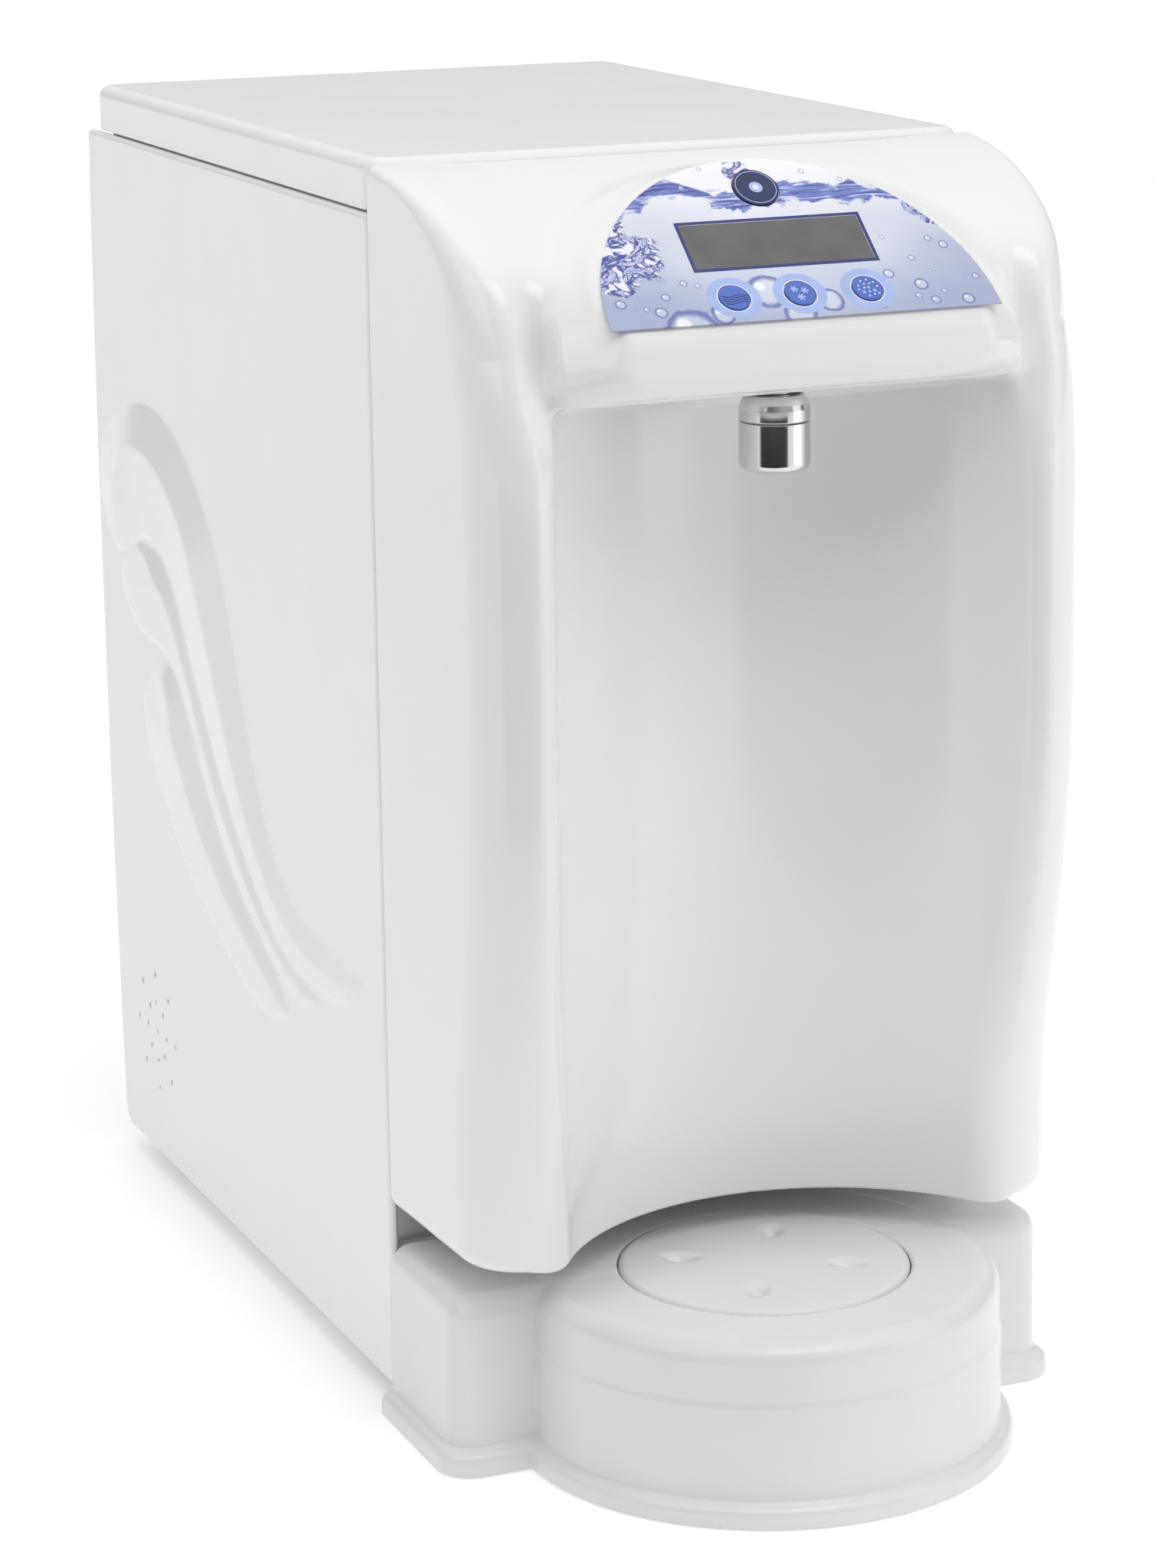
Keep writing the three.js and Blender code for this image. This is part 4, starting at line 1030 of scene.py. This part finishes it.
# ---------------------------------------------------------------- outlet nozzle
def build_nozzle():
    """Collar, cap and flow straightener, turned about the outlet's axis."""
    r, seam = 13.3, 401.9
    collar = [(3.5, seam + 0.2), (r, seam + 0.2), (r, 404.5), (r - 0.15, 406.5), (r - 0.6, 408.5),
              (r - 1.4, 410.3), (r - 2.6, 411.7), (6.4, 411.9), (6.4, 424), (3.5, 424)]
    turns = np.linspace(0, math.pi / 2, 12)
    corner = [(r - 3.3 + 3.3 * math.sin(t), 386.6 - 3.3 * math.cos(t)) for t in turns]
    cap = [(8.5, 383.7), (8.9, 383.3), *corner, (r, seam - 0.6), (r - 0.4, seam - 0.2),
           (10.4, seam - 0.2), (10.4, 387), (8.5, 387)]
    insert = [(2.5, 386.2), (8.2, 386.2), (8.2, 388), (10, 388), (10, 399.8), (2.5, 399.8)]
    for name, profile, look in (
        ("nozzle_collar", rounded(collar, 0.5, 5), CHROME), ("nozzle_cap", cap, CHROME),
        ("nozzle_insert", rounded(insert, 0.3), BLACK_PLASTIC),
    ):
        mesh = lathe_mesh(name + "_turned", profile, 128)
        mesh.transform(Matrix.Translation(world((0, NOZZLE_Y, 0))))
        link(name + "_turned", mesh, look, name)


build_label()
build_buttons()
build_nozzle()


# ---------------------------------------------------------------- carried-over CAD nodes
SOFT_EDGE = 0.35                                 # width of the bevel on every sharp edge
SHARP = math.radians(38)                         # edges that turn by more than this are sharp


def dress(node):
    """Gives a CAD node its material, softened edges and smooth curved faces."""
    obj = NODES[node]
    obj.data.materials.clear()
    obj.data.materials.append(SLOT_LOOKS[SLOT_OF[node]])
    for polygon in obj.data.polygons:
        polygon.use_smooth = True
    obj.data.set_sharp_from_angle(angle=SHARP)
    bevel = obj.modifiers.new("soft_edges", "BEVEL")
    bevel.width = SOFT_EDGE * MM
    bevel.segments = 2
    bevel.limit_method = "ANGLE"
    bevel.angle_limit = SHARP
    bevel.harden_normals = True


for node_name, node_object in NODES.items():
    if not node_object.hide_render:
        dress(node_name)


# ---------------------------------------------------------------- stage
def plane(name, size, at, turn=(0, 0, 0)):
    """A square in metres that belongs to the stage."""
    mesh = bpy.data.meshes.new(name)
    h = size / 2
    mesh.from_pydata([(-h, -h, 0), (h, -h, 0), (h, h, 0), (-h, h, 0)], [], [(0, 1, 2, 3)])
    obj = bpy.data.objects.new(name, mesh)
    obj.location, obj.rotation_euler = at, turn
    bpy.context.scene.collection.objects.link(obj)
    return obj


def build_stage():
    """A pale floor that also glows a little, so that it reads as a white sweep."""
    floor = plane("floor", 30, (0, 0, -0.0005))
    material, tree, shader = new_material("floor_white", 0.6, specular=0.2)
    noise = texture(tree, "Noise", tree.nodes.new("ShaderNodeTexCoord").outputs["Object"], 3.0)
    color = mixed(tree, noise.ramp(0.3, 0.7), (0.90, 0.90, 0.90), (0.92, 0.92, 0.92))
    tree.links.new(color, shader.inputs["Base Color"])
    shader.inputs["Emission Color"].default_value = (1, 1, 1, 1)
    shader.inputs["Emission Strength"].default_value = 0.29
    floor.data.materials.append(material)


def area_light(name, at, size, power, aim=(0, 0, 0.25)):
    """A soft box in metres and watts, turned towards its aim."""
    data = bpy.data.lights.new(name, "AREA")
    data.shape = "RECTANGLE"
    data.size, data.size_y = size
    data.energy = power
    light = bpy.data.objects.new(name, data)
    light.location = at
    light.rotation_mode = "QUATERNION"
    light.rotation_quaternion = (Vector(at) - Vector(aim)).to_track_quat("Z", "Y")
    bpy.context.scene.collection.objects.link(light)


# Soft lights far away: (height above the horizon, bearing from the front towards +X, strength).
SOFT_LIGHTS = [
    (12, 0, 0.34), (12, 36, 0.25), (12, 144, 0.42), (12, 180, 0.38), (12, 216, 0.18),
    (14, 245, 0.16), (45, 300, 0.42), (40, 60, 0.46), (40, 120, 0.25), (40, 180, 0.51),
    (68, 22, 0.85), (68, 142, 0.37), (68, 262, 0.56), (90, 0, 0.50),
]
SPREAD = 8.0                                     # larger makes each of them narrower


def build_world():
    """A dark studio with wide soft lights all round and above, weakest low at the front."""
    world_data = bpy.data.worlds.new("studio")
    bpy.context.scene.world = world_data
    world_data.use_nodes = True
    tree = world_data.node_tree
    direction = tree.nodes.new("ShaderNodeTexCoord").outputs["Generated"]
    total = None
    for height, bearing, strength in SOFT_LIGHTS:
        e, a = math.radians(height), math.radians(bearing)
        dot = tree.nodes.new("ShaderNodeVectorMath")
        dot.operation = "DOT_PRODUCT"
        tree.links.new(direction, dot.inputs[0])
        dot.inputs[1].default_value = (
            math.sin(a) * math.cos(e), -math.cos(a) * math.cos(e), math.sin(e))
        power = tree.nodes.new("ShaderNodeMath")
        power.operation = "EXPONENT"
        tree.links.new(((Value(tree, dot.outputs["Value"]) - 1) * SPREAD).socket, power.inputs[0])
        light = Value(tree, power.outputs[0]) * strength
        total = light if total is None else total + light
    background = tree.nodes["Background"]
    background.inputs["Color"].default_value = (1, 1, 1, 1)
    tree.links.new(total.socket, background.inputs["Strength"])


def dark_flag():
    """A black studio flag in front of the object: only light and reflections meet it."""
    flag = plane("flag", 1.0, (-0.31, -0.80, 0.17), (math.radians(90), 0, math.radians(-27)))
    flag.scale = (1.35, 0.34, 1)
    material, tree, shader = new_material("flag_black", 0.9, specular=0.1)
    shader.inputs["Base Color"].default_value = (0.01, 0.01, 0.01, 1)
    flag.data.materials.append(material)
    flag.visible_camera = False


build_stage()
build_world()
dark_flag()
area_light("left_box", (-0.95, -0.5, 0.95), (0.8, 0.6), 1.6)
area_light("right_box", (1.0, -0.9, 0.55), (0.7, 0.9), 1.7)
area_light("front_box", (0.05, -0.95, 1.5), (0.9, 0.5), 3.1, aim=(0, -0.15, 0.1))
bpy.context.scene.view_settings.view_transform = "Standard"
